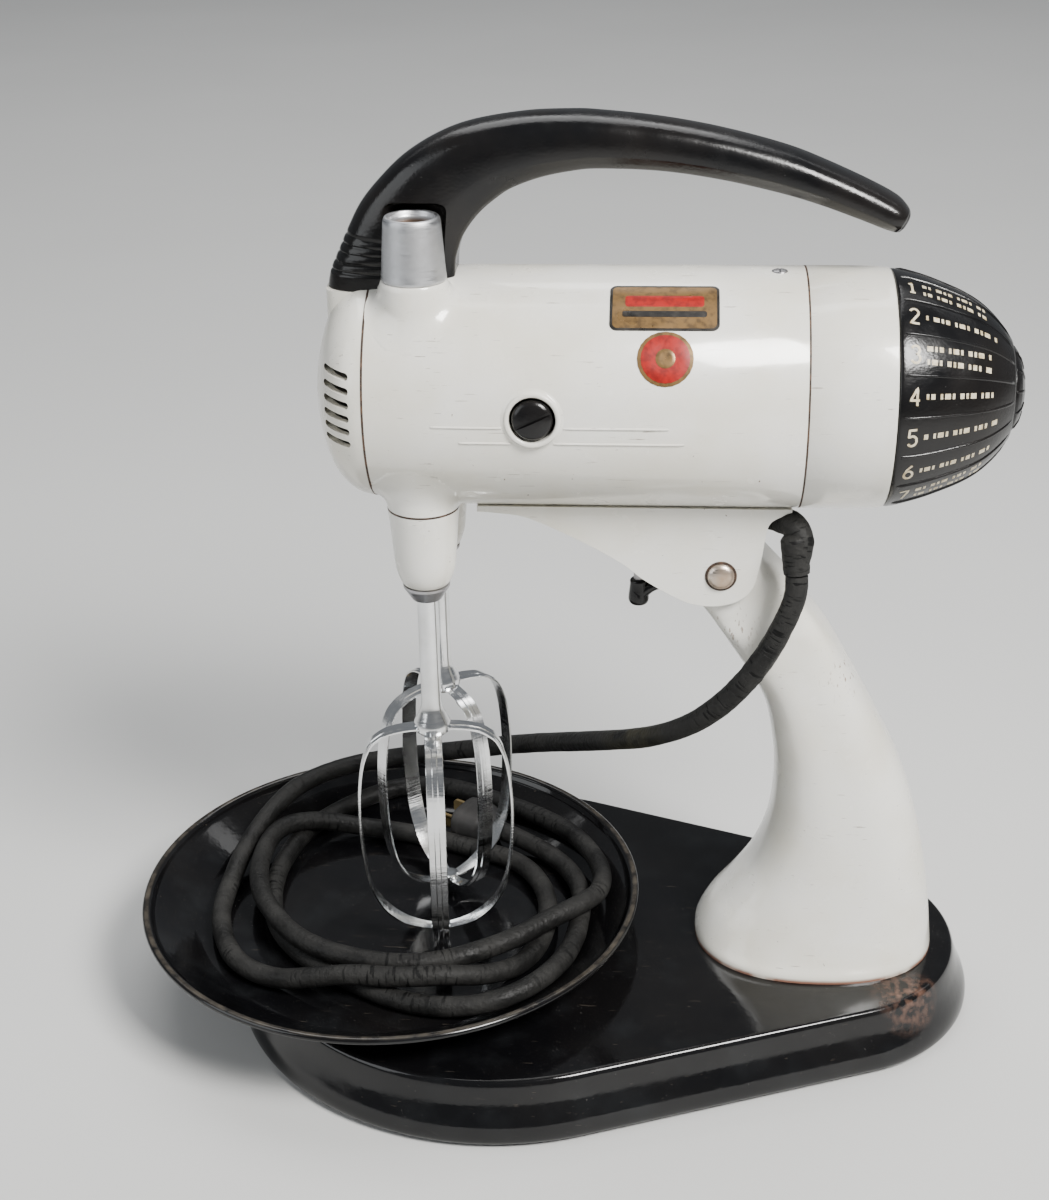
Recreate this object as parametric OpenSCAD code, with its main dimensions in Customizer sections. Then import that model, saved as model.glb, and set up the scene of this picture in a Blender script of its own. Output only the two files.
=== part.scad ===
// Tilt-head stand mixer with a turntable, two beaters, a speed dial and a cord coiled in the dish.
// Frame: +Z up from the feet, the nose towards -X, the speed dial towards +X. Units: mm.
// Every height and length below is measured in this frame; x values are from the turntable's axis.

/* [Which piece] */
// Piece to show, or all of them

/* [Base] */
// Radius of the base's front end at the bottom
base_front_r = 113.6; // [90:0.1:130]
// Distance of the base's front arc centre behind the turntable's axis
base_front_x = 47; // [20:0.5:80]
// Radius of the base's rear end at the bottom
base_rear_r = 66.5; // [50:0.5:80]
// Distance of the base's rear arc centre behind the turntable's axis
base_rear_x = 180.5; // [150:0.5:220]
// How much the base's side leans in from bottom to top
base_lean = 7; // [0:0.5:15]
// Height of the base's top face
base_top_z = 27; // [20:0.5:35]
// Wall thickness of the base
base_wall = 2.5; // [1.5:0.1:5]
// Radius of a rubber foot
foot_r = 9; // [6:0.5:14]

/* [Turntable] */
// Outer radius of the turntable's rim
rim_r = 106.5; // [90:0.5:120]
// Height of the turntable's rim
rim_z = 45.3; // [38:0.1:55]
// Height of the dish floor
floor_z = 29.6; // [28:0.1:34]
// Radius of the flat dish floor
floor_r = 82; // [60:0.5:95]
// Sheet thickness of the dish
dish_t = 1.6; // [1:0.1:3]
// Radius of the pin the turntable turns on
pin_r = 4; // [3:0.1:6]

/* [Pedestal and arm] */
// Distance of the tilt pivot behind the turntable's axis
pivot_x = 136.2; // [120:0.1:150]
// Height of the tilt pivot
pivot_z = 202.2; // [180:0.1:220]
// Radius of the pivot pin
pivot_r = 4; // [3:0.1:6]
// Half width of the arm across its cheeks
arm_half = 19.5; // [15:0.1:25]
// Thickness of the arm's cheeks and top
arm_t = 3; // [2:0.1:5]
// Height of the arm's flat top, which the head rests on
arm_top_z = 229.9; // [220:0.1:240]
// Distance of the head's swivel stud behind the turntable's axis
stud_x = 140; // [120:0.5:160]
// Distance of the shift lever's pin behind the turntable's axis
lever_x = 113; // [105:0.5:120]

/* [Head] */
// Height of the motor's axis
axis_z = 271.5; // [240:0.5:300]
// Outer radius of the motor housing
head_r = 45; // [40:0.5:60]
// Wall thickness of the housing
wall = 2.5; // [1.5:0.1:4]
// Distance of the beaters' plane behind the turntable's axis
spindle_x = 23; // [10:0.5:40]
// Distance of each beater's axis from the middle plane
spindle_y = 18.7; // [15:0.1:25]
// Outer radius of a beater spindle
spindle_r = 5.5; // [4:0.1:7]
// Running clearance round a turning shaft
run = 0.06; // [0.01:0.01:0.1]
// Distance of the brush caps behind the turntable's axis
brush_x = 66.6; // [50:0.1:80]
// How far the brushes lean up from level, in degrees
brush_lean = 3; // [0:0.5:10]
// Half width of the carrying handle
handle_half = 12.5; // [10:0.5:16]

/* [Dial] */
// Number of raised dividers round the dial
dial_ribs = 18; // [12:1:24]
// Where the dial starts, behind the turntable's axis
dial_x = 195.6; // [190:0.1:200]

/* [Beaters] */
// Radius of a beater's cage
cage_r = 32; // [25:0.5:36]
// Width of a beater's flat strip
strip_w = 7; // [4:0.5:9]
// Thickness of a beater's strip
strip_t = 1.2; // [0.8:0.1:2]
// Height of a beater's tip
tip_z = 31.4; // [30.5:0.1:36]
// Radius of a beater's shaft
shaft_r = 4; // [3:0.1:5]

/* [Cord] */
// Radius of the cord
cord_r = 4.3; // [3:0.1:5]
// Inner radius of the coil lying in the dish
coil_in = 46; // [44:0.5:60]
// Outer radius of the coil lying in the dish
coil_out = 95; // [85:0.5:97]

/* [Hidden] */
shift_x = (rim_r - base_rear_x - base_rear_r) / 2;
foot_z = 2.5;
shell_z = 1.5;
well_r = 10.5;
white = [0.90, 0.89, 0.84];
black = [0.05, 0.05, 0.055];
steel = [0.62, 0.62, 0.64];
chrome = [0.80, 0.81, 0.83];
copper = [0.72, 0.42, 0.25];
brass = [0.78, 0.62, 0.30];
feet_at = [[-30, -62], [-30, 62], [200, -38], [200, 38]];
bolts_at = [150, 208];
screws_at = [15.5, 31];
arm_in = arm_half - arm_t;
tongue_half = arm_in - 0.2;
bore_r = shaft_r + 0.02;
pad_z = arm_top_z + 0.3;
ped_side = [
  [126, 31], [125, 27], [236, 27], [231, 31], [229, 40], [227.2, 54], [224, 72], [218.5, 94], [211.4, 114],
  [201.3, 134], [191, 153], [180.7, 170.6], [169.8, 185.2], [161.6, 195.8], [152.5, 205.5], [147, 214.5],
  [138, 219], [129, 217.6], [122, 211], [119.4, 203], [121, 195], [127.5, 187.7], [136.8, 174.9],
  [145.4, 161], [152, 150.4], [156.4, 140.2], [159.4, 125.6], [160.3, 113], [159.4, 95], [156.8, 80],
  [149.6, 65], [140.1, 51.8], [132.4, 42]];
ped_core = [
  [137, 26], [224, 26], [222, 54], [219, 71], [213.6, 92], [206.6, 111.6], [196.6, 131.4], [186.5, 150],
  [176, 166], [163, 172], [150.6, 163], [156, 153], [161.4, 142], [164.4, 126], [165.3, 113], [164.4, 94],
  [161.4, 77.4], [153.6, 62], [144.4, 49], [138.6, 41]];
ped_half = [
  [39, 27], [38.6, 29.5], [35, 34], [31, 44], [28, 62], [25.5, 95], [22.5, 135], [19.8, 165], [18.4, 176],
  [tongue_half, 184], [tongue_half, 222]];
arm_side = [
  [43.4, arm_top_z], [43.4, 227.6], [63.1, 225.1], [83.6, 215.5], [98.8, 206.5], [106.5, 200.3],
  [117.3, 193.7], [124.3, 190.5], [131.6, 189.3], [138.1, 189.9], [143.8, 192.1], [148.6, 197.5],
  [151.1, 208.2], [152.6, 219], [154.6, 224.8], [162, arm_top_z]];
nose_out = [
  [0, -17], [6, -16.8], [13, -15.9], [19, -14.5], [25, -12.7], [29.5, -11], [33.3, -8.9], [36.3, -6.5],
  [38.8, -3.7], [40.6, -0.7], [41.6, 2.2], [42, 5]];
nose_in = [[39.4, 5], [38.2, 0.4], [36, -3], [33.6, -5.4], [28, -8.4], [18, -11.9], [5.5, -14.2], [0, -14.4]];
body_out = [[42, 5.3], [43.1, 13], [44.1, 22], [44.8, 32], [head_r, 42], [head_r, 164.1]];
body_in = [[head_r - wall, 164.1], [head_r - wall, 42], [44.1 - wall, 22], [42 - wall, 5]];
dial_out = [
  [43.6, dial_x], [44, 196.8], [42.9, 202], [41, 208.5], [38.4, 215.3], [35.6, 221.8], [32.2, 227.8],
  [28.3, 232.6], [24, 236.6], [19.5, 240]];
hub_out = [[16.6, 239], [16, 241.6], [13.2, 243.6], [8, 245.4], [0, 246]];
handle_side = [
  [-11.4, 309.9], [-10.2, 316], [-7.7, 321.6], [-3.5, 330.6], [2.3, 341.3], [10.4, 350.8], [19.5, 359],
  [31.6, 366.1], [44.3, 370.5], [62.5, 373.4], [78, 374], [89, 373.6], [111.2, 371.2], [133.4, 367.1],
  [155.8, 361.1], [171.2, 355.1], [186.3, 348.2], [195.5, 343.2], [199.4, 339.4], [200.2, 335.4],
  [198.4, 332.4], [194.9, 331.6], [186.6, 334.8], [171.5, 340.6], [156.1, 345.4], [133.8, 350.6],
  [111.5, 353.9], [89.2, 354.8], [73.3, 353.1], [60.7, 349.2], [51.3, 343.4], [44, 336.6], [39.6, 329.6],
  [37, 321.5], [36.4, 312], [20, 309], [0, 309]];
cage = [
  [7, 134.4], [18.5, 132.6], [25.6, 127.6], [29.4, 118.6], [31.4, 106], [cage_r, 90], [31.2, 72],
  [28.4, 57.6], [21.4, 45], [12, 38], [2, 35.4]];
cage_side = concat(cage, [for (i = [len(cage) - 1:-1:0]) cage[i] + inward(cage, i)]);
mouth = [164.4, -26, 206];
exit_way = [0.1, -0.14, -0.985];
sleeve = 22;
path = [
  mouth, [164.3, -27.3, 199], [162.5, -28.2, 192.5], [160, -28.7, 186.5], [155.7, -29.1, 177],
  [149.5, -28.7, 166], [142, -27, 155], [134.5, -24, 146], [127, -20, 138], [118.5, -13.8, 130.5],
  [109, -5.6, 123], [98.6, 4.2, 116], [89, 14, 109.7], [80, 23.5, 103.5], [71, 33, 97.5],
  [62, 42, 91.8], [52.5, 50.5, 86], [43, 58, 80.5], [33, 65, 75], [22, 71.5, 69.8], [11, 77.5, 64.8],
  [-0.5, 83, 60], [-12, 86.5, 56], [-24.5, 86.5, 53.4], [-37.5, 81.5, 52.2], [-50, 72, 52]];
sides = 10;

function unit(v) = v / norm(v);
// A step from point i of the cage line towards the cage's axis side, square to the line.
function inward(p, i) =
  let (a = p[max(i - 1, 0)], b = p[min(i + 1, len(p) - 1)], d = unit(b - a)) strip_t * [d[1], -d[0]];
// The profile of the handle, moved inwards by d.
function inset(p, d) = [for (i = [0:len(p) - 1])
  let (a = p[(i + len(p) - 1) % len(p)], b = p[(i + 1) % len(p)], t = unit(b - a)) p[i] + d * [t[1], -t[0]]];
function across(t) = unit(cross(t, [0.35, -0.9, 0.2]));
function ring(p, t) = let (u = across(t), v = cross(t, u))
  [for (k = [0:sides - 1]) p + cord_r * (cos(360 * k / sides) * u + sin(360 * k / sides) * v)];
function tangent(p, i) = unit(p[min(i + 1, len(p) - 1)] - p[max(i - 1, 0)]);

// Moves a piece from the turntable's axis to the middle of the whole footprint.
module placed() translate([shift_x, 0, 0]) children();
// Turns a profile of [radius, distance] points about the motor's axis.
module lathe(points, facets = 96)
  translate([0, 0, axis_z]) rotate([0, 90, 0]) rotate_extrude($fn = facets) polygon(points);
// A round bar or ring along X on the motor's axis.
module bar_x(x0, x1, outer, inner = 0, facets = 48)
  lathe([[inner, x0], [outer, x0], [outer, x1], [inner, x1]], facets);
// Turns what is drawn along Z to point outwards along a brush, on the side s.
module brush_way(s) translate([brush_x, 0, axis_z]) rotate([s * (90 - brush_lean), 0, 0]) children();
// A flat profile in the XZ plane, as thick as twice the half width.
module slab(points, half) translate([0, half, 0]) rotate([90, 0, 0]) linear_extrude(2 * half) polygon(points);
// An upright round bar or ring.
module post(x, y, z0, z1, r0, r1, hole = 0, facets = 48)
  translate([x, y, 0]) rotate_extrude($fn = facets) polygon([[hole, z0], [r0, z0], [r1, z1], [hole, z1]]);

// The teardrop shape of the base, made smaller by inset d, from z0 to z1.
module teardrop(d, z0, z1, lean)
  hull() for (c = [[base_front_x, base_front_r], [base_rear_x, base_rear_r]])
    translate([c[0], 0, z0]) cylinder(h = z1 - z0, r1 = c[1] - d, r2 = c[1] - d - lean, $fn = 96);

module base_shell() color(black) placed() difference() {
  union() {
    difference() {
      teardrop(0, shell_z, base_top_z, base_lean);
      teardrop(base_wall, shell_z - 1, base_top_z - base_wall, base_lean);
    }
    post(0, 0, 10, base_top_z - 1, well_r + 2.5, well_r + 2.5);
  }
  post(0, 0, 13, base_top_z + 1, well_r, well_r);
  post(0, 0, 5, 20, pin_r, pin_r);
  for (x = bolts_at) post(x, 0, 20, 30, 3.1, 3.1);
}

module base_plate() color(steel) placed() difference() {
  teardrop(base_wall + 1.2, foot_z, foot_z + 1.2, 0);
  for (p = feet_at) post(p[0], p[1], 0, 6, 2.1, 2.1);
}

// A rubber foot with its stem pushed through the bottom plate.
module foot(p) color(black) placed() union() {
  post(p[0], p[1], 0, foot_z, foot_r - 0.8, foot_r);
  post(p[0], p[1], foot_z - 0.5, 5.5, 2, 2);
}
module foot_front_left() foot(feet_at[0]);
module foot_front_right() foot(feet_at[1]);
module foot_rear_left() foot(feet_at[2]);
module foot_rear_right() foot(feet_at[3]);

module turntable_pin() color(steel) placed() post(0, 0, 10, floor_z - dish_t - 0.05, pin_r - 0.01, pin_r - 0.01);

module pedestal() color(white) placed() difference() {
  union() {
    difference() {
      intersection() {
        slab(ped_side, 40);
        rotate([90, 0, 90]) translate([0, 0, 100]) linear_extrude(150)
          polygon(concat(ped_half, [for (i = [len(ped_half) - 1:-1:0]) [-ped_half[i][0], ped_half[i][1]]]));
        linear_extrude(300) polygon([[118, -10], [124, -22], [135, -31], [152, -37.6], [168, -39.6],
          [186, -37.6], [204, -31], [222, -20], [232, -9], [234, 0], [232, 9], [222, 20], [204, 31],
          [186, 37.6], [168, 39.6], [152, 37.6], [135, 31], [124, 22], [118, 10]]);
      }
      slab(ped_core, 18);
    }
    for (x = bolts_at) intersection() {
      union() {
        post(x, 0, base_top_z, 62, 7, 7);
        translate([x > 180 ? x : x - 20, -3, base_top_z]) cube([20, 6, 35]);
      }
      slab(ped_side, 30);
    }
  }
  for (x = bolts_at) post(x, 0, 20, 46, 3.02, 3.02);
  translate([pivot_x, 0, pivot_z]) rotate([90, 0, 0])
    cylinder(h = 80, r = pivot_r + run, center = true, $fn = 48);
}

// A hexagon-headed bolt from inside the base up into the pedestal.
module pedestal_bolt(x) color(steel) placed() union() {
  post(x, 0, 20.4, base_top_z - base_wall - 0.05, 5.5, 5.5, facets = 6);
  post(x, 0, 24, 45, 3, 3);
}
module pedestal_bolt_front() pedestal_bolt(bolts_at[0]);
module pedestal_bolt_rear() pedestal_bolt(bolts_at[1]);

module turntable() color(black) placed() rotate_extrude($fn = 128) polygon([
  [0, floor_z], [floor_r, floor_z], [floor_r + 2, floor_z + 0.9], [101.5, rim_z - 3.4], [102.8, rim_z - 1],
  [103.9, rim_z], [105.6, rim_z], [rim_r, rim_z - 0.9], [rim_r, rim_z - 2.2], [104.2, rim_z - 3.4],
  [floor_r + 3.2, floor_z - 0.5], [floor_r + 1, floor_z - dish_t], [8.6, floor_z - dish_t],
  [8.6, 17], [6.6, 17], [6.6, floor_z - dish_t], [0, floor_z - dish_t]]);

module turntable_bush() color(brass) placed()
  post(0, 0, 17, floor_z - dish_t, 6.58, 6.58, pin_r + run - 0.01);

module arm() color(white) placed() difference() {
  union() {
    slab(arm_side, arm_half);
    translate([150, -25, 225.6]) cube([12, 10, 2.6]);
    post(mouth[0] - 2.2, mouth[1] + 3.1, 225.6, 228.2, 8.2, 8.2);
  }
  slab([[50, 170], [50, arm_top_z - arm_t], [170, arm_top_z - arm_t], [170, 170]], arm_in);
  translate([pivot_x, 0, pivot_z]) rotate([90, 0, 0])
    cylinder(h = 80, r = pivot_r + 0.02, center = true, $fn = 48);
  post(stud_x, 0, 220, 240, 5.02, 5.02);
  post(lever_x, 0, 220, 240, 2.52, 2.52);
  sleeve_way() translate([0, 0, -30]) cylinder(h = 30, r = 5.62, $fn = 48);
}

module pivot_pin() color(steel) placed() translate([pivot_x, 0, pivot_z]) rotate([90, 0, 0]) union() {
  cylinder(h = 2 * arm_half + 1, r = pivot_r, center = true, $fn = 48);
  for (m = [0, 180]) rotate([m, 0, 0]) rotate_extrude($fn = 48)
    polygon([[0, arm_half], [5.2, arm_half + 0.03], [4.9, arm_half + 1.2], [3.6, arm_half + 2],
      [1.8, arm_half + 2.4], [0, arm_half + 2.5]]);
}

module swivel_stud() color(steel) placed() union() {
  post(stud_x, 0, 223.4, arm_top_z - arm_t - 0.02, 8, 8);
  post(stud_x, 0, 224, 243, 5, 5);
}
module stud_nut() color(steel) placed() difference() {
  post(stud_x, 0, 238.1, 242, 8.4, 8.4, facets = 6);
  post(stud_x, 0, 236, 244, 5.02, 5.02);
}

module lever_pin() color(steel) placed() union() {
  post(lever_x, 0, 205.2, arm_top_z - 0.6, 2.5, 2.5);
  post(lever_x, 0, 204, 205.6, 4.4, 4.4);
}

// Turns what is drawn along Z to lie along the way the cord leaves, ending at the mouth.
module sleeve_way()
  translate(mouth) rotate([0, 0, atan2(exit_way[1], exit_way[0])]) rotate([0, acos(exit_way[2]), 0]) children();
// A tapered strain relief through the ear on the arm, down to the point the cord leaves.
module cord_grommet() color(black) placed() sleeve_way() rotate_extrude($fn = 40)
  polygon([[0, -sleeve], [5.6, -sleeve], [5.6, 7 - sleeve], [4.9, -0.7], [0, -0.7]]);

module shift_lever() color(steel) placed() difference() {
  union() {
    post(lever_x, 0, 205.8, 212, 5, 5);
    translate([lever_x, 0, 206]) rotate([0, 0, 228]) translate([2, -2.6, 0]) cube([12.6, 5.2, 2]);
    post(104.9, -9, 188, 208, 2, 2);
  }
  post(lever_x, 0, 200, 220, 2.5 + run, 2.5 + run);
}
module lever_knob() color(black) placed() translate([104.9, -9, 0]) rotate_extrude($fn = 40) polygon([
  [0, 185.2], [2.6, 185.2], [3.8, 186.2], [4, 188], [3.5, 194], [3.6, 195.4], [2.8, 196], [2.02, 196],
  [2.02, 187.9], [0, 187.9]]);

// The cast nose with its row of slanted cooling slots on each side.
module front_cover() color(white) placed() difference() {
  lathe(concat(nose_out, nose_in));
  for (s = [-1, 1], i = [0:5])
    translate([-5, s * 33, axis_z + 15.7 - 5 * i]) rotate([0, 5, 0]) cube([10.4, 27, 2.6], center = true);
}

module housing() color(white) placed() difference() {
  union() {
    difference() {
      lathe(concat(body_out, body_in), 128);
      translate([38, -30, 200]) cube([126.2, 60, pad_z - 200]);
    }
    intersection() {
      lathe([[0, 39], [head_r - 1, 39], [head_r - 1, 164.1], [0, 164.1]]);
      translate([38, -30, pad_z]) cube([126.1, 60, 3]);
    }
    bar_x(6.5, 9.5, 40.6, 0, 96);
    post(stud_x, 0, pad_z, 238, 10, 10);
    for (s = [-1, 1]) {
      translate([spindle_x, s * spindle_y, 0]) rotate_extrude($fn = 64) polygon([
        [0, 197.6], [9.2, 197.6], [10.9, 202.4], [11.9, 208], [12.4, 215], [13, 223.3], [13.6, 229], [13.6, 234],
        [9.5, 243], [0, 243]]);
      intersection() {
        post(spindle_x, s * spindle_y, 297, 314, 9, 9);
        lathe([[0, 5.3], [41.8, 5.3], [42.9, 13], [43.9, 22], [44.6, 32], [44.6, 50], [0, 50]]);
      }
      brush_way(s) translate([0, 0, 36]) cylinder(h = 9.9, r = 10.2, $fn = 48);
    }
    post(spindle_x, -spindle_y, 300, 317.6, 13.4, 12.2);
    for (s = [-1, 1], l = [[30, 115, 0.8], [40, 120.6, -5.2]])
      translate([l[0], s * 44.9 - 0.7, axis_z - 1.5 + l[2]]) cube([l[1] - l[0], 1.4, 0.8]);
  }
  for (s = [-1, 1]) post(spindle_x, s * spindle_y, 190, s < 0 ? 330 : 303, spindle_r + run, spindle_r + run);
  for (s = [-1, 1]) brush_way(s) {
    cylinder(h = 60, r = 5.02, $fn = 48);
    translate([0, 0, 41.6]) cylinder(h = 10, r = 8.4, $fn = 48);
  }
  bar_x(4, 11, 7.02);
  post(stud_x, 0, 220, 250, 5 + run, 5 + run);
  for (x = screws_at) post(x, 0, 300, 330, 2.1, 2.1);
}

module rear_ring() color(white) placed() union() {
  lathe([[head_r, 164.4], [head_r, 184], [44.4, 195.2], [41.5, 195.2], [41.5, 164.4]], 128);
  bar_x(184, 187, 42, 6 + run, 96);
  bar_x(182, 191, 10, 6 + run);
}

module front_bush() color(brass) placed() bar_x(5.6, 10.4, 7, shaft_r + run);

// A spoked plate that carries a bearing for the armature.
module bearing_plate(x) placed() difference() {
  bar_x(x, x + 3, 42.2, 0, 96);
  bar_x(x - 1, x + 4, shaft_r + run, 0, 48);
  for (a = [45:90:315]) translate([x - 1, 0, axis_z]) rotate([a, 0, 0]) translate([0, 22, 0])
    rotate([0, 90, 0]) cylinder(h = 5, r = 9, $fn = 40);
  translate([x - 1, -60, 200]) cube([5, 120, 34.2]);
}
module middle_plate() color(steel) bearing_plate(47);
module rear_plate() color(steel) bearing_plate(151);

module field_core() color(steel) placed() difference() {
  bar_x(88, 122, 35.4, 22.3, 72);
  for (a = [40, 140, 220, 320]) translate([80, 0, axis_z]) rotate([a, 0, 0]) translate([0, 29, 0])
    rotate([0, 90, 0]) cylinder(h = 50, r = 3.7, $fn = 32);
}
// One field winding: two end turns joined by bars through the core.
module coil(turn) color(copper) placed() translate([0, 0, axis_z]) rotate([turn, 0, 0]) union() {
  for (x = [80.5, 122.1]) rotate([0, 90, 0]) translate([0, 0, x]) rotate([0, 0, 46])
    rotate_extrude(angle = 88, $fn = 72) polygon([[25, 0], [33, 0], [33, 7.4], [25, 7.4]]);
  for (a = [40, -40]) rotate([a, 0, 0]) translate([0, 29, 0]) rotate([0, 90, 0])
    translate([0, 0, 84]) cylinder(h = 42, r = 3.6, $fn = 32);
}
module coil_right() coil(0);
module coil_left() coil(180);

// A slotted cap over a brush.
module brush_cap(s) color(black) placed() brush_way(s) difference() {
  rotate_extrude($fn = 48) polygon([[0, 41.7], [7.4, 41.7], [7.4, 45.2], [6.2, 46.3], [3.4, 47.1], [0, 47.4]]);
  translate([-9, -0.7, 45.6]) cube([18, 1.4, 4]);
}
module brush_cap_left() brush_cap(1);
module brush_cap_right() brush_cap(-1);
module brush_holder(s) color(brass) placed() brush_way(s) difference() {
  translate([0, 0, 15]) cylinder(h = 26.6, r = 5, $fn = 48);
  translate([-2.55, -2.55, 10]) cube([5.1, 5.1, 28]);
}
module brush_holder_left() brush_holder(1);
module brush_holder_right() brush_holder(-1);
module brush(s) color([0.12, 0.12, 0.13]) placed() brush_way(s)
  translate([-2.5, -2.5, 11.3]) cube([5, 5, 17]);
module brush_left() brush(1);
module brush_right() brush(-1);

module handle() color(black) placed() difference() {
  union() {
    slab(handle_side, handle_half - 4.5);
    slab(inset(handle_side, 0.9), handle_half - 2.4);
    slab(inset(handle_side, 2.2), handle_half - 0.9);
    slab(inset(handle_side, 3.8), handle_half);
  }
  lathe(concat([[0, -9]], [for (p = concat([for (k = [6:11]) nose_out[k]], body_out)) p + [0.08, 0]], [[0, 164]]));
  post(spindle_x, -spindle_y, 300, 343.5, 13.5, 13.5);
  for (x = screws_at) post(x, 0, 300, 328, 2.02, 2.02);
  for (i = [0:4]) translate([-12 + 1.4 * i, -20, 317 + 3.6 * i]) rotate([0, 25, 0]) cube([1.8, 40, 1.2]);
}
module handle_screw(x, z) color(steel) placed() union() {
  post(x, 0, z - 2.2, z, 3.8, 3.8);
  post(x, 0, z - 1, 327, 2, 2);
}
module handle_screw_front() handle_screw(screws_at[0], axis_z + 39.4);
module handle_screw_rear() handle_screw(screws_at[1], axis_z + 41);

// The cap over the upper drive, standing on its boss, with a dished top.
module drive_cap() color([0.78, 0.78, 0.79]) placed() translate([spindle_x, -spindle_y, 0])
  rotate_extrude($fn = 64) polygon([[0, 317.7], [11.7, 317.7], [11.9, 318.6], [10.4, 339.6], [9.8, 340.6],
    [8.6, 340.6], [7.8, 338.2], [0, 337.6]]);

// A thin plate bent round the housing between two angles above the near side.
module bent_plate(x0, x1, a0, a1, r0, r1) translate([0, 0, axis_z]) rotate([0, 90, 0]) rotate([0, 0, 180 + a0])
  translate([0, 0, x0]) rotate_extrude(angle = a1 - a0, $fn = 96)
    polygon([[r0, 0], [r1, 0], [r1, x1 - x0], [r0, x1 - x0]]);
module name_plate() color(brass) placed() bent_plate(93.5, 132.5, 18.7, 45.5, head_r + 0.02, head_r + 0.4);
module medallion() color([0.62, 0.12, 0.08]) placed() intersection() {
  lathe([[head_r + 0.02, 95], [head_r + 0.5, 95], [head_r + 0.5, 135], [head_r + 0.02, 135]]);
  translate([113.5, 0, axis_z]) rotate([58.6, 0, 0]) cylinder(h = 60, r = 10, $fn = 48);
}

module speed_dial() color(black) placed() union() {
  lathe(concat(dial_out, [[16.8, 240], [16.8, 236], [22, 232], [29, 225], [36, 213], [40.6, 200], [40.8, dial_x]]));
  for (i = [0:dial_ribs - 1]) translate([0, 0, axis_z]) rotate([20 * i + 5, 0, 0]) translate([0, 0.6, 0])
    rotate([90, 0, 0]) linear_extrude(1.2) polygon([[197.4, 41.6], [197.6, 44.6], [202, 43.7],
      [208.5, 41.8], [215.3, 39.2], [221.8, 36.4], [227.8, 33], [232.6, 29.1], [236.6, 24.8],
      [239, 21.6], [238.6, 20], [232, 26.8], [222, 34], [209, 39.6]]);
}
module dial_hub() color(black) placed() union() {
  lathe(concat([[0, 236], [16.6, 236]], hub_out), 48);
  bar_x(181, 237, 6, 0);
  bar_x(178.5, 181.4, 8, 0);
}

module armature_shaft() color(steel) placed() bar_x(5.8, 172, shaft_r, 0);
module armature_core() color(steel) placed() difference() {
  bar_x(88, 122, 21.8, bore_r, 72);
  for (a = [0:30:330]) translate([87, 0, axis_z]) rotate([a, 0, 0]) translate([0, 17.4, -1]) cube([36, 6, 2]);
}
module commutator() color(copper) placed() union() {
  bar_x(59, 75, 11, bore_r);
  bar_x(75, 79.8, 15, bore_r);
}
module fan() color(steel) placed() union() {
  bar_x(131, 133, 24.5, bore_r, 64);
  bar_x(131, 142, 8, bore_r);
  for (a = [0:45:315]) translate([132, 0, axis_z]) rotate([a, 0, 0]) translate([0, 7, -0.6]) cube([9, 18, 1.2]);
}
module worm() color(brass) placed() lathe(concat([[bore_r, 11], [4.9, 11]],
  [for (i = [0:5], k = [0:3]) [k == 0 || k == 3 ? 4.9 : 6.1, 11.6 + 3.9 * i + [0, 0.7, 1.6, 2.3][k]]],
  [[4.9, 35], [bore_r, 35]]), 48);
module governor() color(brass) placed() union() {
  bar_x(156, 160, 9, bore_r);
  bar_x(169, 172, 12, bore_r);
  for (s = [-1, 1]) translate([158, s * 12.5 - 4.5, axis_z - 4]) cube([11.5, 9, 8]);
  for (s = [-1, 1]) translate([157, s * 7.4 - 2.9, axis_z - 3]) cube([3, 5.8, 6]);
}

// A spindle, with the socket that holds a beater's shaft, and the slinger ring under the neck.
module spindle(s, top) color(steel) placed() translate([spindle_x, s * spindle_y, 0]) rotate_extrude($fn = 48)
  polygon([[shaft_r + 0.02, 191.2], [5.9, 191.2], [9.1, 196.4], [9.1, 197.4], [spindle_r, 197.4],
    [spindle_r, top], [0, top], [0, 232], [shaft_r + 0.02, 232]]);
module spindle_left() spindle(-1, 317.4);
module spindle_right() spindle(1, 302.6);
module worm_wheel(s, phase) color(brass) placed() translate([spindle_x, s * spindle_y, 0]) difference() {
  union() {
    post(0, 0, axis_z - 5, axis_z + 5, 10.6, 10.6);
    for (a = [0:15:345]) rotate([0, 0, a + phase]) translate([9, -0.8, axis_z - 5]) cube([3.3, 1.6, 10]);
  }
  post(0, 0, axis_z - 9, axis_z + 9, spindle_r + 0.02, spindle_r + 0.02);
}
module worm_wheel_left() worm_wheel(-1, 0);
module worm_wheel_right() worm_wheel(1, 0);

// Two crossing loops of flat strip on a shaft, with a ferrule above and a pointed pin below.
module beater(s, phase) color(chrome) placed() translate([spindle_x, s * spindle_y, 0]) union() {
  for (a = [0:90:270]) rotate([0, 0, phase + a]) slab(cage_side, strip_w / 2);
  rotate_extrude($fn = 40) polygon([[0, 231.9], [shaft_r, 231.9], [shaft_r, 144.6], [4.8, 141], [7.4, 135.6],
    [7.4, 133], [5.6, 131.4], [0, 131.4]]);
  rotate_extrude($fn = 40) polygon([[0, 38.6], [4, 38.6], [4.2, 35.6], [2.6, 33.4], [0, tip_z]]);
}
module beater_left() beater(-1, 7.5);
module beater_right() beater(1, 37.5);

module cord_span() color(black) placed() {
  count = len(path);
  points = [for (i = [0:count - 1]) each ring(path[i], tangent(path, i))];
  sides_of = [for (i = [0:count - 2], k = [0:sides - 1])
    [i * sides + k, i * sides + (k + 1) % sides, (i + 1) * sides + (k + 1) % sides, (i + 1) * sides + k]];
  polyhedron(points, concat([[for (k = [sides - 1:-1:0]) k]], sides_of,
    [[for (k = [0:sides - 1]) (count - 1) * sides + k]]));
}
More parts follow.
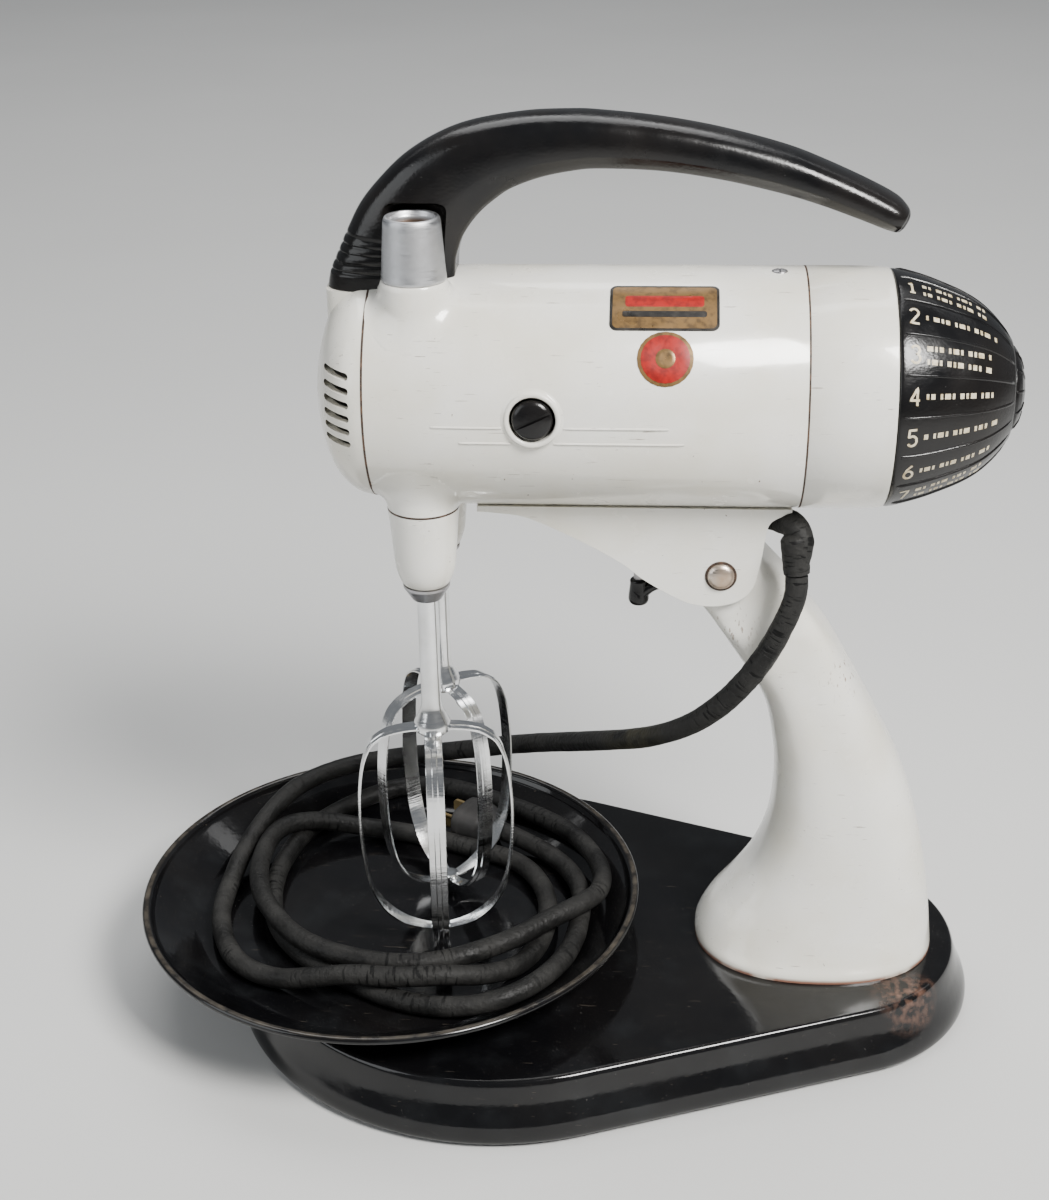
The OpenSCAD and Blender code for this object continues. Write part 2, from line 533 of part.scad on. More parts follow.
// The loose turns in the dish: wider apart low down, where the beaters taper, than higher up.
module cord_coil() color(black) placed() rotate([0, 0, 84]) rotate_extrude(angle = 318, $fn = 96)
  polygon([[coil_in, floor_z + 0.3], [floor_r, floor_z + 0.3], [coil_out, floor_z + 9.2],
    [coil_out, floor_z + 13], [coil_out - 4, floor_z + 17], [coil_out - 6, floor_z + 18],
    [coil_in + 14, floor_z + 18], [coil_in + 11, floor_z + 14], [coil_in + 11, floor_z + 9.6],
    [coil_in + 2, floor_z + 8.8], [coil_in, floor_z + 7]]);
module cord_plug() color(black) placed() translate([32, 60.5, floor_z + 8.6]) rotate([0, 0, 150]) union() {
  translate([-11, -11, -8]) cube([20, 22, 16]);
  for (s = [-1, 1]) translate([8, s * 6.4 - 0.8, -3.2]) cube([10.5, 1.6, 6.4]);
}

base_shell();
base_plate();
foot_front_left();
foot_front_right();
foot_rear_left();
foot_rear_right();
turntable_pin();
pedestal();
pedestal_bolt_front();
pedestal_bolt_rear();
turntable();
turntable_bush();
arm();
pivot_pin();
swivel_stud();
stud_nut();
lever_pin();
cord_grommet();
shift_lever();
lever_knob();
front_cover();
housing();
rear_ring();
front_bush();
middle_plate();
rear_plate();
field_core();
coil_left();
coil_right();
brush_cap_left();
brush_cap_right();
brush_holder_left();
brush_holder_right();
brush_left();
brush_right();
handle();
handle_screw_front();
handle_screw_rear();
drive_cap();
name_plate();
medallion();
speed_dial();
dial_hub();
armature_shaft();
armature_core();
commutator();
fan();
worm();
governor();
spindle_left();
spindle_right();
worm_wheel_left();
worm_wheel_right();
beater_left();
beater_right();
cord_span();
cord_coil();
cord_plug();
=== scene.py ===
"""Looks for the stand mixer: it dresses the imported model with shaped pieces, finishes, lights and a floor.

Lengths below are in millimetres. x counts from the turntable's axis, y is positive on the far side and z
counts up from the underside of the feet. at() turns them into the frame's metres.
"""

import math

import bmesh
import bpy
from mathutils import Matrix, Vector, noise


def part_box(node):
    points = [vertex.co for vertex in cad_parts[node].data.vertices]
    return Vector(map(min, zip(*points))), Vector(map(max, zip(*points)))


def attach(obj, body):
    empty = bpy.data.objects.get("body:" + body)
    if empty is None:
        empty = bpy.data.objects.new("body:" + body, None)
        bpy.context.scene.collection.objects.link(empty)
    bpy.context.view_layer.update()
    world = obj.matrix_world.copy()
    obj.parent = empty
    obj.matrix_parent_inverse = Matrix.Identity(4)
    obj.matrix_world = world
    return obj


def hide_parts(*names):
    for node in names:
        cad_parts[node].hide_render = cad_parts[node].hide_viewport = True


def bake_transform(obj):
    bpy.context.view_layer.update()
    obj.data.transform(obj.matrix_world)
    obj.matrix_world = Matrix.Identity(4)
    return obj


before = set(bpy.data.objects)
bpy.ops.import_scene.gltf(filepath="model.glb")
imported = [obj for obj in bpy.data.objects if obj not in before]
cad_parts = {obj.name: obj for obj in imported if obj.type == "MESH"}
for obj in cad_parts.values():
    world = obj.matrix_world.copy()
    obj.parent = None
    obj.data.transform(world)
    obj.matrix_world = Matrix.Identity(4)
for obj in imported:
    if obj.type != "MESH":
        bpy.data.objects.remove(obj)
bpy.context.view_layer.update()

MM = 0.001


def middle(node):
    """The centre of a node's box, in metres."""
    low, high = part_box(node)
    return (Vector(low) + Vector(high)) / 2


TABLE_X = middle("turntable").x
MOTOR_Z = middle("rear_ring").z / MM
SPINDLE_X = (middle("spindle_left").x - TABLE_X) / MM
SPINDLE_Y = abs(middle("spindle_left").y) / MM
PIVOT_X = (middle("pivot_pin").x - TABLE_X) / MM
PIVOT_Z = middle("pivot_pin").z / MM
BRUSH_X = (middle("brush_cap_right").x - TABLE_X) / MM
BRUSH_LEAN = 3
BODY_R = 45
BODY_END = 164.1


def at(x, y, z):
    """A point of the frame from millimetres measured from the turntable's axis."""
    return Vector((TABLE_X + x * MM, y * MM, z * MM))


# ---------------------------------------------------------------- camera

CAMERA_AT = Vector((0.04023, -0.6703, 0.50446))
CAMERA_DOWN = 0.448
CAMERA_TURN = -0.076
CAMERA_ROLL = -0.017


def add_camera():
    """The camera, at its place and turned by the three angles above."""
    ahead = Vector((math.sin(CAMERA_TURN) * math.cos(CAMERA_DOWN),
                    math.cos(CAMERA_TURN) * math.cos(CAMERA_DOWN),
                    -math.sin(CAMERA_DOWN)))
    right = Vector((math.cos(CAMERA_TURN), -math.sin(CAMERA_TURN), 0))
    up = right.cross(ahead)
    right_rolled = math.cos(CAMERA_ROLL) * right + math.sin(CAMERA_ROLL) * up
    up_rolled = math.cos(CAMERA_ROLL) * up - math.sin(CAMERA_ROLL) * right
    data = bpy.data.cameras.new("camera")
    data.lens = 64.25
    data.sensor_fit = "HORIZONTAL"
    data.sensor_width = 36
    camera = bpy.data.objects.new("camera", data)
    turn = Matrix((right_rolled, up_rolled, -ahead)).transposed()
    camera.matrix_world = Matrix.Translation(CAMERA_AT) @ turn.to_4x4()
    bpy.context.collection.objects.link(camera)
    bpy.context.scene.camera = camera


add_camera()


# ---------------------------------------------------------------- finishes


class Finish:
    """One material, built up from noise layers placed in the object's own space."""

    def __init__(self, name, colour, roughness, metal=0.0, coat=0.0, shine=0.5):
        self.material = bpy.data.materials.new(name)
        self.material.use_nodes = True
        self.nodes = self.material.node_tree.nodes
        self.links = self.material.node_tree.links
        self.shader = self.nodes["Principled BSDF"]
        self.shader.inputs["Base Color"].default_value = (*colour, 1)
        self.shader.inputs["Roughness"].default_value = roughness
        self.shader.inputs["Metallic"].default_value = metal
        self.shader.inputs["Coat Weight"].default_value = coat
        self.shader.inputs["Specular IOR Level"].default_value = shine
        self.shader.inputs["Coat Roughness"].default_value = 0.06
        places = self.nodes.new("ShaderNodeTexCoord")
        self.place = places.outputs["Object"]
        self.flat = places.outputs["UV"]

    def stretch(self, scale, source=None):
        node = self.nodes.new("ShaderNodeMapping")
        node.inputs["Scale"].default_value = scale
        self.links.new(source or self.place, node.inputs["Vector"])
        return node.outputs["Vector"]

    def limit(self, value, low, high, to_low=0.0, to_high=1.0):
        node = self.nodes.new("ShaderNodeMapRange")
        node.inputs["From Min"].default_value = low
        node.inputs["From Max"].default_value = high
        node.inputs["To Min"].default_value = to_low
        node.inputs["To Max"].default_value = to_high
        self.links.new(value, node.inputs["Value"])
        return node.outputs["Result"]

    def noise(self, scale, low, high, detail=4, source=None):
        node = self.nodes.new("ShaderNodeTexNoise")
        node.inputs["Scale"].default_value = scale
        node.inputs["Detail"].default_value = detail
        self.links.new(source or self.place, node.inputs["Vector"])
        return self.limit(node.outputs[0], low, high)

    def near(self, point, inner, outer):
        """1 within inner metres of a point, fading to 0 at outer."""
        node = self.nodes.new("ShaderNodeVectorMath")
        node.operation = "DISTANCE"
        self.links.new(self.place, node.inputs[0])
        node.inputs[1].default_value = point
        return self.limit(node.outputs["Value"], inner, outer, 1, 0)

    def part(self, axis, low, high):
        node = self.nodes.new("ShaderNodeSeparateXYZ")
        self.links.new(self.place, node.inputs["Vector"])
        return self.limit(node.outputs[axis], low, high)

    def both(self, first, second, operation="MULTIPLY"):
        node = self.nodes.new("ShaderNodeMath")
        node.operation = operation
        node.use_clamp = True
        self.links.new(first, node.inputs[0])
        self.links.new(second, node.inputs[1])
        return node.outputs["Value"]

    def mix(self, share, first, second):
        """Mixes two colours; either may be a colour or another node's output."""
        node = self.nodes.new("ShaderNodeMix")
        node.data_type = "RGBA"
        self.links.new(share, node.inputs[0])
        for socket, colour in ((node.inputs[6], first), (node.inputs[7], second)):
            if isinstance(colour, tuple):
                socket.default_value = (*colour, 1)
            else:
                self.links.new(colour, socket)
        return node.outputs[2]

    def colour(self, output):
        self.links.new(output, self.shader.inputs["Base Color"])

    def rough(self, mask, low, high):
        self.links.new(self.limit(mask, 0, 1, low, high), self.shader.inputs["Roughness"])

    def bump(self, height, depth, strength=0.5):
        node = self.nodes.new("ShaderNodeBump")
        node.inputs["Strength"].default_value = strength
        node.inputs["Distance"].default_value = depth
        self.links.new(height, node.inputs["Height"])
        self.links.new(node.outputs["Normal"], self.shader.inputs["Normal"])


def enamel(name, clean, aged, chip, chip_low, gloss, wear=None, coat=0.5, shine=0.5):
    """Glossy stove enamel: faint stains, fine scratches, small chips and a slight orange peel."""
    finish = Finish(name, clean, 0.2, coat=coat, shine=shine)
    stains = finish.noise(22, 0.42, 0.72, 6)
    smudges = finish.noise(70, 0.35, 0.75, 8)
    chips = finish.both(finish.noise(420, chip_low, chip_low + 0.03, 3), finish.noise(26, 0.5, 0.56, 2))
    lines = finish.noise(90, 0.69, 0.72, 3, finish.stretch((1, 9, 16)))
    shade = finish.mix(stains, clean, aged)
    shade = finish.mix(finish.both(lines, smudges), shade, chip)
    shade = finish.mix(chips, shade, chip)
    if wear:
        shade = wear(finish, shade)
    finish.colour(shade)
    finish.rough(smudges, *gloss)
    finish.bump(finish.both(finish.noise(260, 0.2, 0.8, 2), chips, "SUBTRACT"), 0.00012, 0.25)
    return finish.material


def black_wear_and_rim_highlight(finish, shade):
    """Dust, a bright worn edge round the dish that is partly a painted highlight along the rim's crest, and a
    rusty rub on the base's rear edge.
    """
    dust = finish.both(finish.noise(1500, 0.72, 0.78, 2), finish.noise(40, 0.5, 0.66, 3))
    film = finish.noise(55, 0.5, 0.95, 6)
    # Painted highlight with wear: a thin band along the crest of the dish's rim, broken up by noise.
    edge = finish.both(finish.part("Z", 0.0449, 0.0453), finish.noise(170, 0.3, 0.8, 6))
    rub = finish.both(finish.near(at(216, -43, 25), 0.001, 0.017), finish.noise(300, 0.4, 0.95, 8))
    shade = finish.mix(film, shade, (0.012, 0.013, 0.014))
    shade = finish.mix(dust, shade, (0.2, 0.19, 0.18))
    # Painted highlight with wear: the rim's crest band is lightened to a warm grey.
    shade = finish.mix(edge, shade, (0.075, 0.064, 0.05))
    return finish.mix(rub, shade, (0.3, 0.16, 0.11))


def white_wear(finish, shade):
    """Brown scratches on the pedestal's side and rear edge, and a darker line where it meets the base."""
    marks = finish.stretch((1, 0.5, 0.35))
    scrape = finish.both(finish.near(at(141, -20, 180), 0.002, 0.013), finish.noise(900, 0.6, 0.66, 3, marks))
    rear = finish.both(finish.near(at(186, -12, 160), 0.003, 0.016), finish.noise(900, 0.62, 0.68, 3, marks))
    foot = finish.both(finish.part("Z", 0.0289, 0.0276), finish.noise(60, 0.3, 0.5, 4))
    shade = finish.mix(scrape, shade, (0.2, 0.12, 0.07))
    shade = finish.mix(rear, shade, (0.22, 0.13, 0.08))
    return finish.mix(foot, shade, (0.26, 0.13, 0.09))


def moulded(name, clean, aged, gloss, grain=900):
    """Bakelite or rubber: a slightly uneven skin with handling marks and dust."""
    finish = Finish(name, clean, 0.4, shine=0.36)
    patches = finish.noise(35, 0.4, 0.7, 6)
    dust = finish.both(finish.noise(1300, 0.73, 0.79, 2), finish.noise(60, 0.5, 0.66, 3))
    shade = finish.mix(patches, clean, aged)
    finish.colour(finish.mix(dust, shade, (0.14, 0.135, 0.13)))
    finish.rough(finish.noise(90, 0.3, 0.75, 8), *gloss)
    finish.bump(finish.noise(grain, 0.3, 0.7, 3), 0.00008, 0.35)
    return finish.material


def metal(name, clean, aged, gloss, lines=(1, 1, 14), centre=None):
    """Bright or dull metal: tarnish in patches, with fine lines left by turning or drawing."""
    finish = Finish(name, clean, 0.3, metal=1.0)
    tarnish = finish.noise(80, 0.42, 0.72, 7)
    fine = finish.noise(110, 0.35, 0.65, 6, finish.stretch(lines))
    shade = finish.mix(tarnish, clean, aged)
    if centre:
        shade = finish.mix(finish.near(centre, 0.005, 0.0078), shade, (0.32, 0.2, 0.13))
    finish.colour(shade)
    finish.rough(finish.both(fine, tarnish, "ADD"), *gloss)
    finish.bump(fine, 0.00005, 0.3)
    return finish.material


def cord_finish(name):
    """Perished rubber: dusty grey, ring cracks across the cord in patches, one khaki stain."""
    finish = Finish(name, (0.015, 0.0148, 0.0142), 0.75, shine=0.18)
    dusty = finish.noise(60, 0.35, 0.7, 7)
    cracks = finish.noise(1.0, 0.56, 0.61, 6, finish.stretch((2.6, 17, 1), finish.flat))
    where = finish.noise(30, 0.46, 0.62, 5)
    worst = finish.near(at(158, -28, 192), 0.03, 0.065)
    where = finish.both(where, worst, "ADD")
    ring = finish.both(cracks, where)
    stain = finish.near(at(104, -4, 120), 0.006, 0.02)
    shade = finish.mix(dusty, (0.008, 0.0079, 0.0077), (0.025, 0.0245, 0.0232))
    shade = finish.mix(finish.both(stain, dusty), shade, (0.06, 0.054, 0.03))
    finish.colour(finish.mix(ring, shade, (0.002, 0.002, 0.002)))
    finish.rough(dusty, 0.42, 0.72)
    finish.bump(finish.both(finish.noise(500, 0.2, 0.9, 4), ring, "SUBTRACT"), 0.0005, 0.7)
    return finish.material


def printed(name, clean, aged, metallic, gloss):
    """Worn printing ink or a thin printed plate."""
    finish = Finish(name, clean, 0.35, metal=metallic)
    finish.colour(finish.mix(finish.noise(400, 0.45, 0.66, 5), clean, aged))
    finish.rough(finish.noise(120, 0.3, 0.7, 4), *gloss)
    finish.bump(finish.noise(900, 0.3, 0.7, 3), 0.00004, 0.3)
    return finish.material


FINISHES = [
    (enamel, "white_enamel", (0.79, 0.775, 0.72), (0.7, 0.665, 0.56), (0.13, 0.08, 0.05),
                           0.735, (0.14, 0.34), white_wear),
    (enamel, "black_enamel", (0.003, 0.003, 0.0035), (0.006, 0.0055, 0.0055), (0.05, 0.042, 0.034),
                           0.765, (0.06, 0.2), black_wear_and_rim_highlight, 0.1, 0.38),
    (moulded, "bakelite", (0.004, 0.004, 0.0045), (0.009, 0.0078, 0.0072), (0.12, 0.32)),
    (moulded, "rubber", (0.018, 0.018, 0.018), (0.045, 0.042, 0.04), (0.5, 0.75), 600),
    (cord_finish, "cord_rubber"),
    (metal, "chrome", (0.86, 0.87, 0.88), (0.72, 0.72, 0.71), (0.05, 0.2)),
    (metal, "nickel", (0.66, 0.6, 0.54), (0.5, 0.34, 0.22), (0.16, 0.4)),
    (metal, "aluminium", (0.62, 0.63, 0.65), (0.47, 0.47, 0.48), (0.26, 0.5), (1, 1, 22),
                       at(SPINDLE_X, -SPINDLE_Y, 338)),
    (metal, "steel", (0.5, 0.5, 0.52), (0.3, 0.27, 0.25), (0.25, 0.5)),
    (metal, "brass", (0.66, 0.5, 0.24), (0.4, 0.28, 0.14), (0.22, 0.45)),
    (metal, "copper", (0.7, 0.35, 0.2), (0.4, 0.2, 0.12), (0.25, 0.5)),
    (moulded, "carbon", (0.02, 0.02, 0.021), (0.05, 0.05, 0.05), (0.4, 0.6)),
    (printed, "gold_print", (0.22, 0.13, 0.05), (0.12, 0.075, 0.035), 0.4, (0.25, 0.45)),
    (printed, "red_print", (0.33, 0.009, 0.006), (0.2, 0.008, 0.006), 0.0, (0.3, 0.5)),
    (printed, "cream_print", (0.62, 0.55, 0.4), (0.42, 0.33, 0.18), 0.0, (0.35, 0.55)),
    (printed, "seam_dirt", (0.03, 0.017, 0.011), (0.1, 0.055, 0.033), 0.0, (0.5, 0.8)),
    (printed, "black_print", (0.012, 0.011, 0.01), (0.03, 0.026, 0.022), 0.0, (0.25, 0.45)),
]
LOOKS = {values[0]: kind(*values) for kind, *values in FINISHES}

# Finishes that the record knows by another name.
RECORD_SLOT = {"cream_print": "gold_print", "seam_dirt": "white_enamel", "black_print": "gold_print"}


# ---------------------------------------------------------------- shaping helpers


def make(name, solid, look, body, slot=None, replaces=(), crease=38):
    """Turns (points in metres, faces) into a smooth-shaded piece that rides on a body."""
    points, faces = solid
    mesh = bpy.data.meshes.new(name)
    mesh.from_pydata([tuple(p) for p in points], [], faces)
    shape = bmesh.new()
    shape.from_mesh(mesh)
    bmesh.ops.remove_doubles(shape, verts=shape.verts, dist=1e-6)
    bmesh.ops.recalc_face_normals(shape, faces=shape.faces)
    shape.to_mesh(mesh)
    shape.free()
    mesh.shade_smooth()
    mesh.set_sharp_from_angle(angle=math.radians(crease))
    mesh.materials.append(LOOKS[look])
    obj = bpy.data.objects.new(name, mesh)
    bpy.context.collection.objects.link(obj)
    if body:
        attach(obj, body)
        slot or RECORD_SLOT.get(look, look)
    if replaces:
        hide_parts(*replaces)
    return obj


def smooth_line(points, steps=6):
    """A curve through points of any size, with so many steps between each two."""
    line = []
    last = len(points) - 1
    for i in range(last):
        before = Vector(points[max(i - 1, 0)])
        here = Vector(points[i])
        there = Vector(points[i + 1])
        after = Vector(points[min(i + 2, last)])
        for k in range(steps):
            t = k / steps
            bend = (2 * before - 5 * here + 4 * there - after) * t * t
            twist = (3 * here - before - 3 * there + after) * t * t * t
            line.append(0.5 * (2 * here + (there - before) * t + bend + twist))
    line.append(Vector(points[last]))
    return line


def rounded(points, radius, steps=4):
    """A profile with each inner corner replaced by a short curve."""
    line = [Vector(points[0])]
    for i in range(1, len(points) - 1):
        corner = Vector(points[i])
        back = Vector(points[i - 1]) - corner
        on = Vector(points[i + 1]) - corner
        reach = min(radius, back.length * 0.45, on.length * 0.45)
        start = corner + back.normalized() * reach
        end = corner + on.normalized() * reach
        for k in range(steps + 1):
            t = k / steps
            line.append(start * (1 - t) * (1 - t) + corner * 2 * t * (1 - t) + end * t * t)
    line.append(Vector(points[-1]))
    return line


def around(sides):
    """Evenly spaced angles, once round."""
    return [2 * math.pi * k / sides for k in range(sides)]


def merged(solids):
    """Several (points, faces) solids as one."""
    points = []
    faces = []
    for more, sheets in solids:
        faces += [tuple(n + len(points) for n in sheet) for sheet in sheets]
        points += more
    return points, faces


def join_rings(rings, closed=False, cap=True):
    """Faces between rings of equal size; closed joins the last ring to the first."""
    size = len(rings[0])
    points = [p for ring in rings for p in ring]
    faces = []
    count = len(rings)
    for i in range(count if closed else count - 1):
        a = i * size
        b = ((i + 1) % count) * size
        for k in range(size):
            n = (k + 1) % size
            faces.append((a + k, a + n, b + n, b + k))
    if cap and not closed:
        faces.append(tuple(range(size)))
        faces.append(tuple(range((count - 1) * size, count * size)))
    return points, faces


def upright(x, y):
    """Places a lathe profile of (radius, height) points on an upright axis."""
    return lambda r, h, a: at(x + r * math.cos(a), y + r * math.sin(a), h)


def along_motor(r, x, a):
    """Places a lathe profile of (radius, x) points on the motor's axis; a is 0 on the near side."""
    return at(x, -r * math.cos(a), MOTOR_Z + r * math.sin(a))


def brush_way(side):
    """Places (radius, distance) points round a brush's axis on one side."""
    lean = math.radians(BRUSH_LEAN)
    out = Vector((0, side * math.cos(lean), math.sin(lean)))
    across = Vector((0, -side * math.sin(lean), math.cos(lean)))

    def place(r, h, a):
        spot = out * h + across * (r * math.sin(a))
        return at(BRUSH_X + r * math.cos(a), spot.y, MOTOR_Z + spot.z)

    return place


def lathe(profile, place, sides=96, closed=False):
    """Turns a profile about an axis. Ends at radius 0 close by themselves."""
    rings = []
    for r, h in profile:
        rings.append([place(max(r, 0.0), h, a) for a in around(sides)])
    return join_rings(rings, closed, cap=not closed)


def cut(obj, cutter):
    """Cuts a hole in a piece and throws the cutter away."""
    change = obj.modifiers.new("cut", "BOOLEAN")
    change.operation = "DIFFERENCE"
    change.solver = "EXACT"
    change.object = cutter
    bpy.context.view_layer.objects.active = obj
    bpy.ops.object.modifier_apply(modifier="cut")
    bpy.data.objects.remove(cutter)
    obj.data.shade_smooth()
    obj.data.set_sharp_from_angle(angle=math.radians(38))


def soften(obj, width, crease=40):
    """Rounds the sharp edges of a piece by so many millimetres."""
    change = obj.modifiers.new("soften", "BEVEL")
    change.width = width * MM
    change.segments = 3
    change.limit_method = "ANGLE"
    change.angle_limit = math.radians(crease)
    change.harden_normals = False


def level(line, height):
    """The first value of a line where its second value reaches a height."""
    for a, b in zip(line, line[1:]):
        if (a.y - height) * (b.y - height) <= 0 and a.y != b.y:
            return a.x + (b.x - a.x) * (height - a.y) / (b.y - a.y)
    return line[0].x if abs(line[0].y - height) < abs(line[-1].y - height) else line[-1].x


def power(value, exponent):
    """A power that keeps the sign of its value."""
    return math.copysign(abs(value) ** exponent, value)


# ---------------------------------------------------------------- cord

CORD_D = 8.6
MOUTH = (164.4, -26, 206)
EXIT_WAY = Vector((0.1, -0.14, -0.985)).normalized()
HANGING = [
    MOUTH, (164.3, -27.3, 199), (162.5, -28.2, 192.5), (160, -28.7, 186.5), (155.7, -29.1, 177),
    (149.5, -28.7, 166), (142, -27, 155), (134.5, -24, 146), (127, -20, 138), (118.5, -13.8, 130.5),
    (109, -5.6, 123), (98.6, 4.2, 116), (89, 14, 109.7), (80, 23.5, 103.5), (71, 33, 97.5),
    (62, 42, 91.8), (52.5, 50.5, 86), (43, 58, 80.5), (33, 65, 75), (22, 71.5, 69.8),
    (11, 77.5, 64.8), (-0.5, 83, 60), (-12, 86.5, 56), (-24.5, 86.5, 53.4), (-37.5, 81.5, 52.2)]
# The turns in the dish: angle from +X in degrees, distance from the axis, height of the cord's middle.
TURNS = [
    (125, 87.7, 52), (140, 82, 46.5), (160, 77, 38), (172, 75, 34), (202, 74, 34), (218, 74, 34),
    (235, 69, 35), (248, 66, 40), (262, 62.5, 42.5), (280, 64, 42.5), (295, 67, 42.5), (310, 70, 38),
    (325, 71, 34), (340, 70, 34), (355, 68, 34), (375, 66, 34), (395, 62, 34), (410, 56, 34),
    (425, 53.5, 34), (445, 55, 34), (470, 62, 35.5), (485, 69, 39.5), (500, 73, 42.5), (518, 66, 42.5),
    (534, 60, 42.5), (552, 55, 42.3), (567, 52, 42.3), (605, 51, 42.3), (625, 52, 42.3), (645, 55.5, 42.3),
    (660, 58, 42.4), (675, 61, 42.5), (690, 66, 42.6), (703, 72, 42.8), (713, 82, 43), (722, 90, 41),
    (731, 92, 40.8), (749, 91, 40.2), (780, 88, 38.4), (810, 90, 39.6), (835, 82, 34.5), (864, 65, 34),
    (875, 60, 34), (890, 55, 34), (905, 52, 34), (925, 50.5, 34), (950, 50.5, 34), (970, 53, 34),
    (988, 60, 34), (1003, 70, 34), (1018, 80, 34.6), (1028, 86, 37), (1039, 88, 38.4), (1051, 86, 37),
    (1062, 84, 35.8), (1072, 82, 34.8), (1087, 82, 34.8), (1098, 81, 34.5), (1110, 78, 34.4),
    (1122, 73, 36)]
PLUG_AT = Vector((32, 60.5, 38.2))
PLUG_WAY = Vector((math.cos(math.radians(150)), math.sin(math.radians(150)), 0))


def eased(keys, angle, column):
    """A smooth value between the keys of a table whose first column is an angle."""
    i = 0
    while i < len(keys) - 2 and keys[i + 1][0] < angle:
        i += 1

    def slope(k):
        low = keys[max(k - 1, 0)]
        high = keys[min(k + 1, len(keys) - 1)]
        return (high[column] - low[column]) / (high[0] - low[0])

    span = keys[i + 1][0] - keys[i][0]
    t = (angle - keys[i][0]) / span
    start = keys[i][column] * (2 * t ** 3 - 3 * t ** 2 + 1)
    end = keys[i + 1][column] * (3 * t ** 2 - 2 * t ** 3)
    lift = slope(i) * span * (t ** 3 - 2 * t ** 2 + t)
    fall = slope(i + 1) * span * (t ** 3 - t ** 2)
    return start + end + lift + fall


def cord_line():
    """Points along the cord's middle in millimetres, evenly spaced."""
    rough = smooth_line(HANGING, 5)
    angle = TURNS[0][0]
    while angle <= TURNS[-1][0]:
        radius = eased(TURNS, angle, 1)
        turn = math.radians(angle)
        rough.append(Vector((radius * math.cos(turn), radius * math.sin(turn), eased(TURNS, angle, 2))))
        angle += 3
    rear = PLUG_AT - PLUG_WAY * 11
    entry = [rough[-2], rough[-1], rear, PLUG_AT - PLUG_WAY * 5]
    rough += smooth_line(entry, 4)[5:]
    return even(rough, 2.0)


def even(points, spacing):
    """Moves points along a line so that they are evenly spaced, with the joins eased."""
    for _ in range(3):
        inner = [(points[i - 1] + points[i] * 2 + points[i + 1]) / 4 for i in range(1, len(points) - 1)]
        points = [points[0]] + inner + [points[-1]]
    line = [points[0].copy()]
    owed = spacing
    for a, b in zip(points, points[1:]):
        length = (b - a).length
        done = 0.0
        while length - done >= owed:
            done += owed
            line.append(a.lerp(b, done / length))
            owed = spacing
        owed -= length - done
    return line


def sweep(line, across, sides, thickness):
    """Rings of points round a line, and how far along it each lies; thickness gives the radius there."""
    rings = []
    travelled = [0.0]
    for i, point in enumerate(line):
        way = (line[min(i + 1, len(line) - 1)] - line[max(i - 1, 0)]).normalized()
        across = (across - way * across.dot(way)).normalized()
        other = way.cross(across)
        if i:
            travelled.append(travelled[-1] + (point - line[i - 1]).length)
        ring = []
        for a in around(sides):
            out = across * math.cos(a) + other * math.sin(a)
            ring.append(at(*(point + out * thickness(travelled[-1], point + out * 4))))
        rings.append(ring)
    return rings, travelled


def add_cord():
    """The whole cord, from the sleeve to the plug, thicker and more ragged near its exit."""
    line = cord_line()

    def thickness(far, spot):
        swell = 0.38 * math.exp(-((far - 45) / 30) ** 2)
        ragged = 0.3 * math.exp(-((far - 35) / 45) ** 2) * noise.noise(spot * 0.4)
        lumps = 0.16 * noise.noise(spot * 0.09) + 0.05 * noise.noise(spot * 0.5)
        return CORD_D / 2 - 0.08 + swell + ragged + lumps

    rings, travelled = sweep(line, EXIT_WAY.orthogonal(), 16, thickness)
    cord = make("cord", join_rings(rings), "cord_rubber", None)
    lay_flat(cord, rings, travelled)
    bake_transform(cord)
    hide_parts("cord_span", "cord_coil")
    plug, pins = add_plug()
    path = [tuple(at(*p)) for p in line[::3]] + [tuple(at(*line[-1]))]


def lay_flat(cord, rings, travelled):
    """Gives the cord a map: u runs once round it and v runs along it at the same scale."""
    grid = cord.data.uv_layers.new(name="along")
    girth = math.pi * CORD_D
    sides = len(rings[0])
    lookup = {}
    for i, ring in enumerate(rings):
        for k, point in enumerate(ring):
            lookup[tuple(round(c, 6) for c in point)] = (k / sides, travelled[i] / girth)
    for face in cord.data.polygons:
        spots = []
        for index in face.vertices:
            key = tuple(round(c, 6) for c in cord.data.vertices[index].co)
            spots.append(lookup.get(key, (0.0, 0.0)))
        wraps = max(s[0] for s in spots) - min(s[0] for s in spots) > 0.5
        for loop, (u, v) in zip(face.loop_indices, spots):
            grid.data[loop].uv = (u + 1 if wraps and u < 0.5 else u, v)


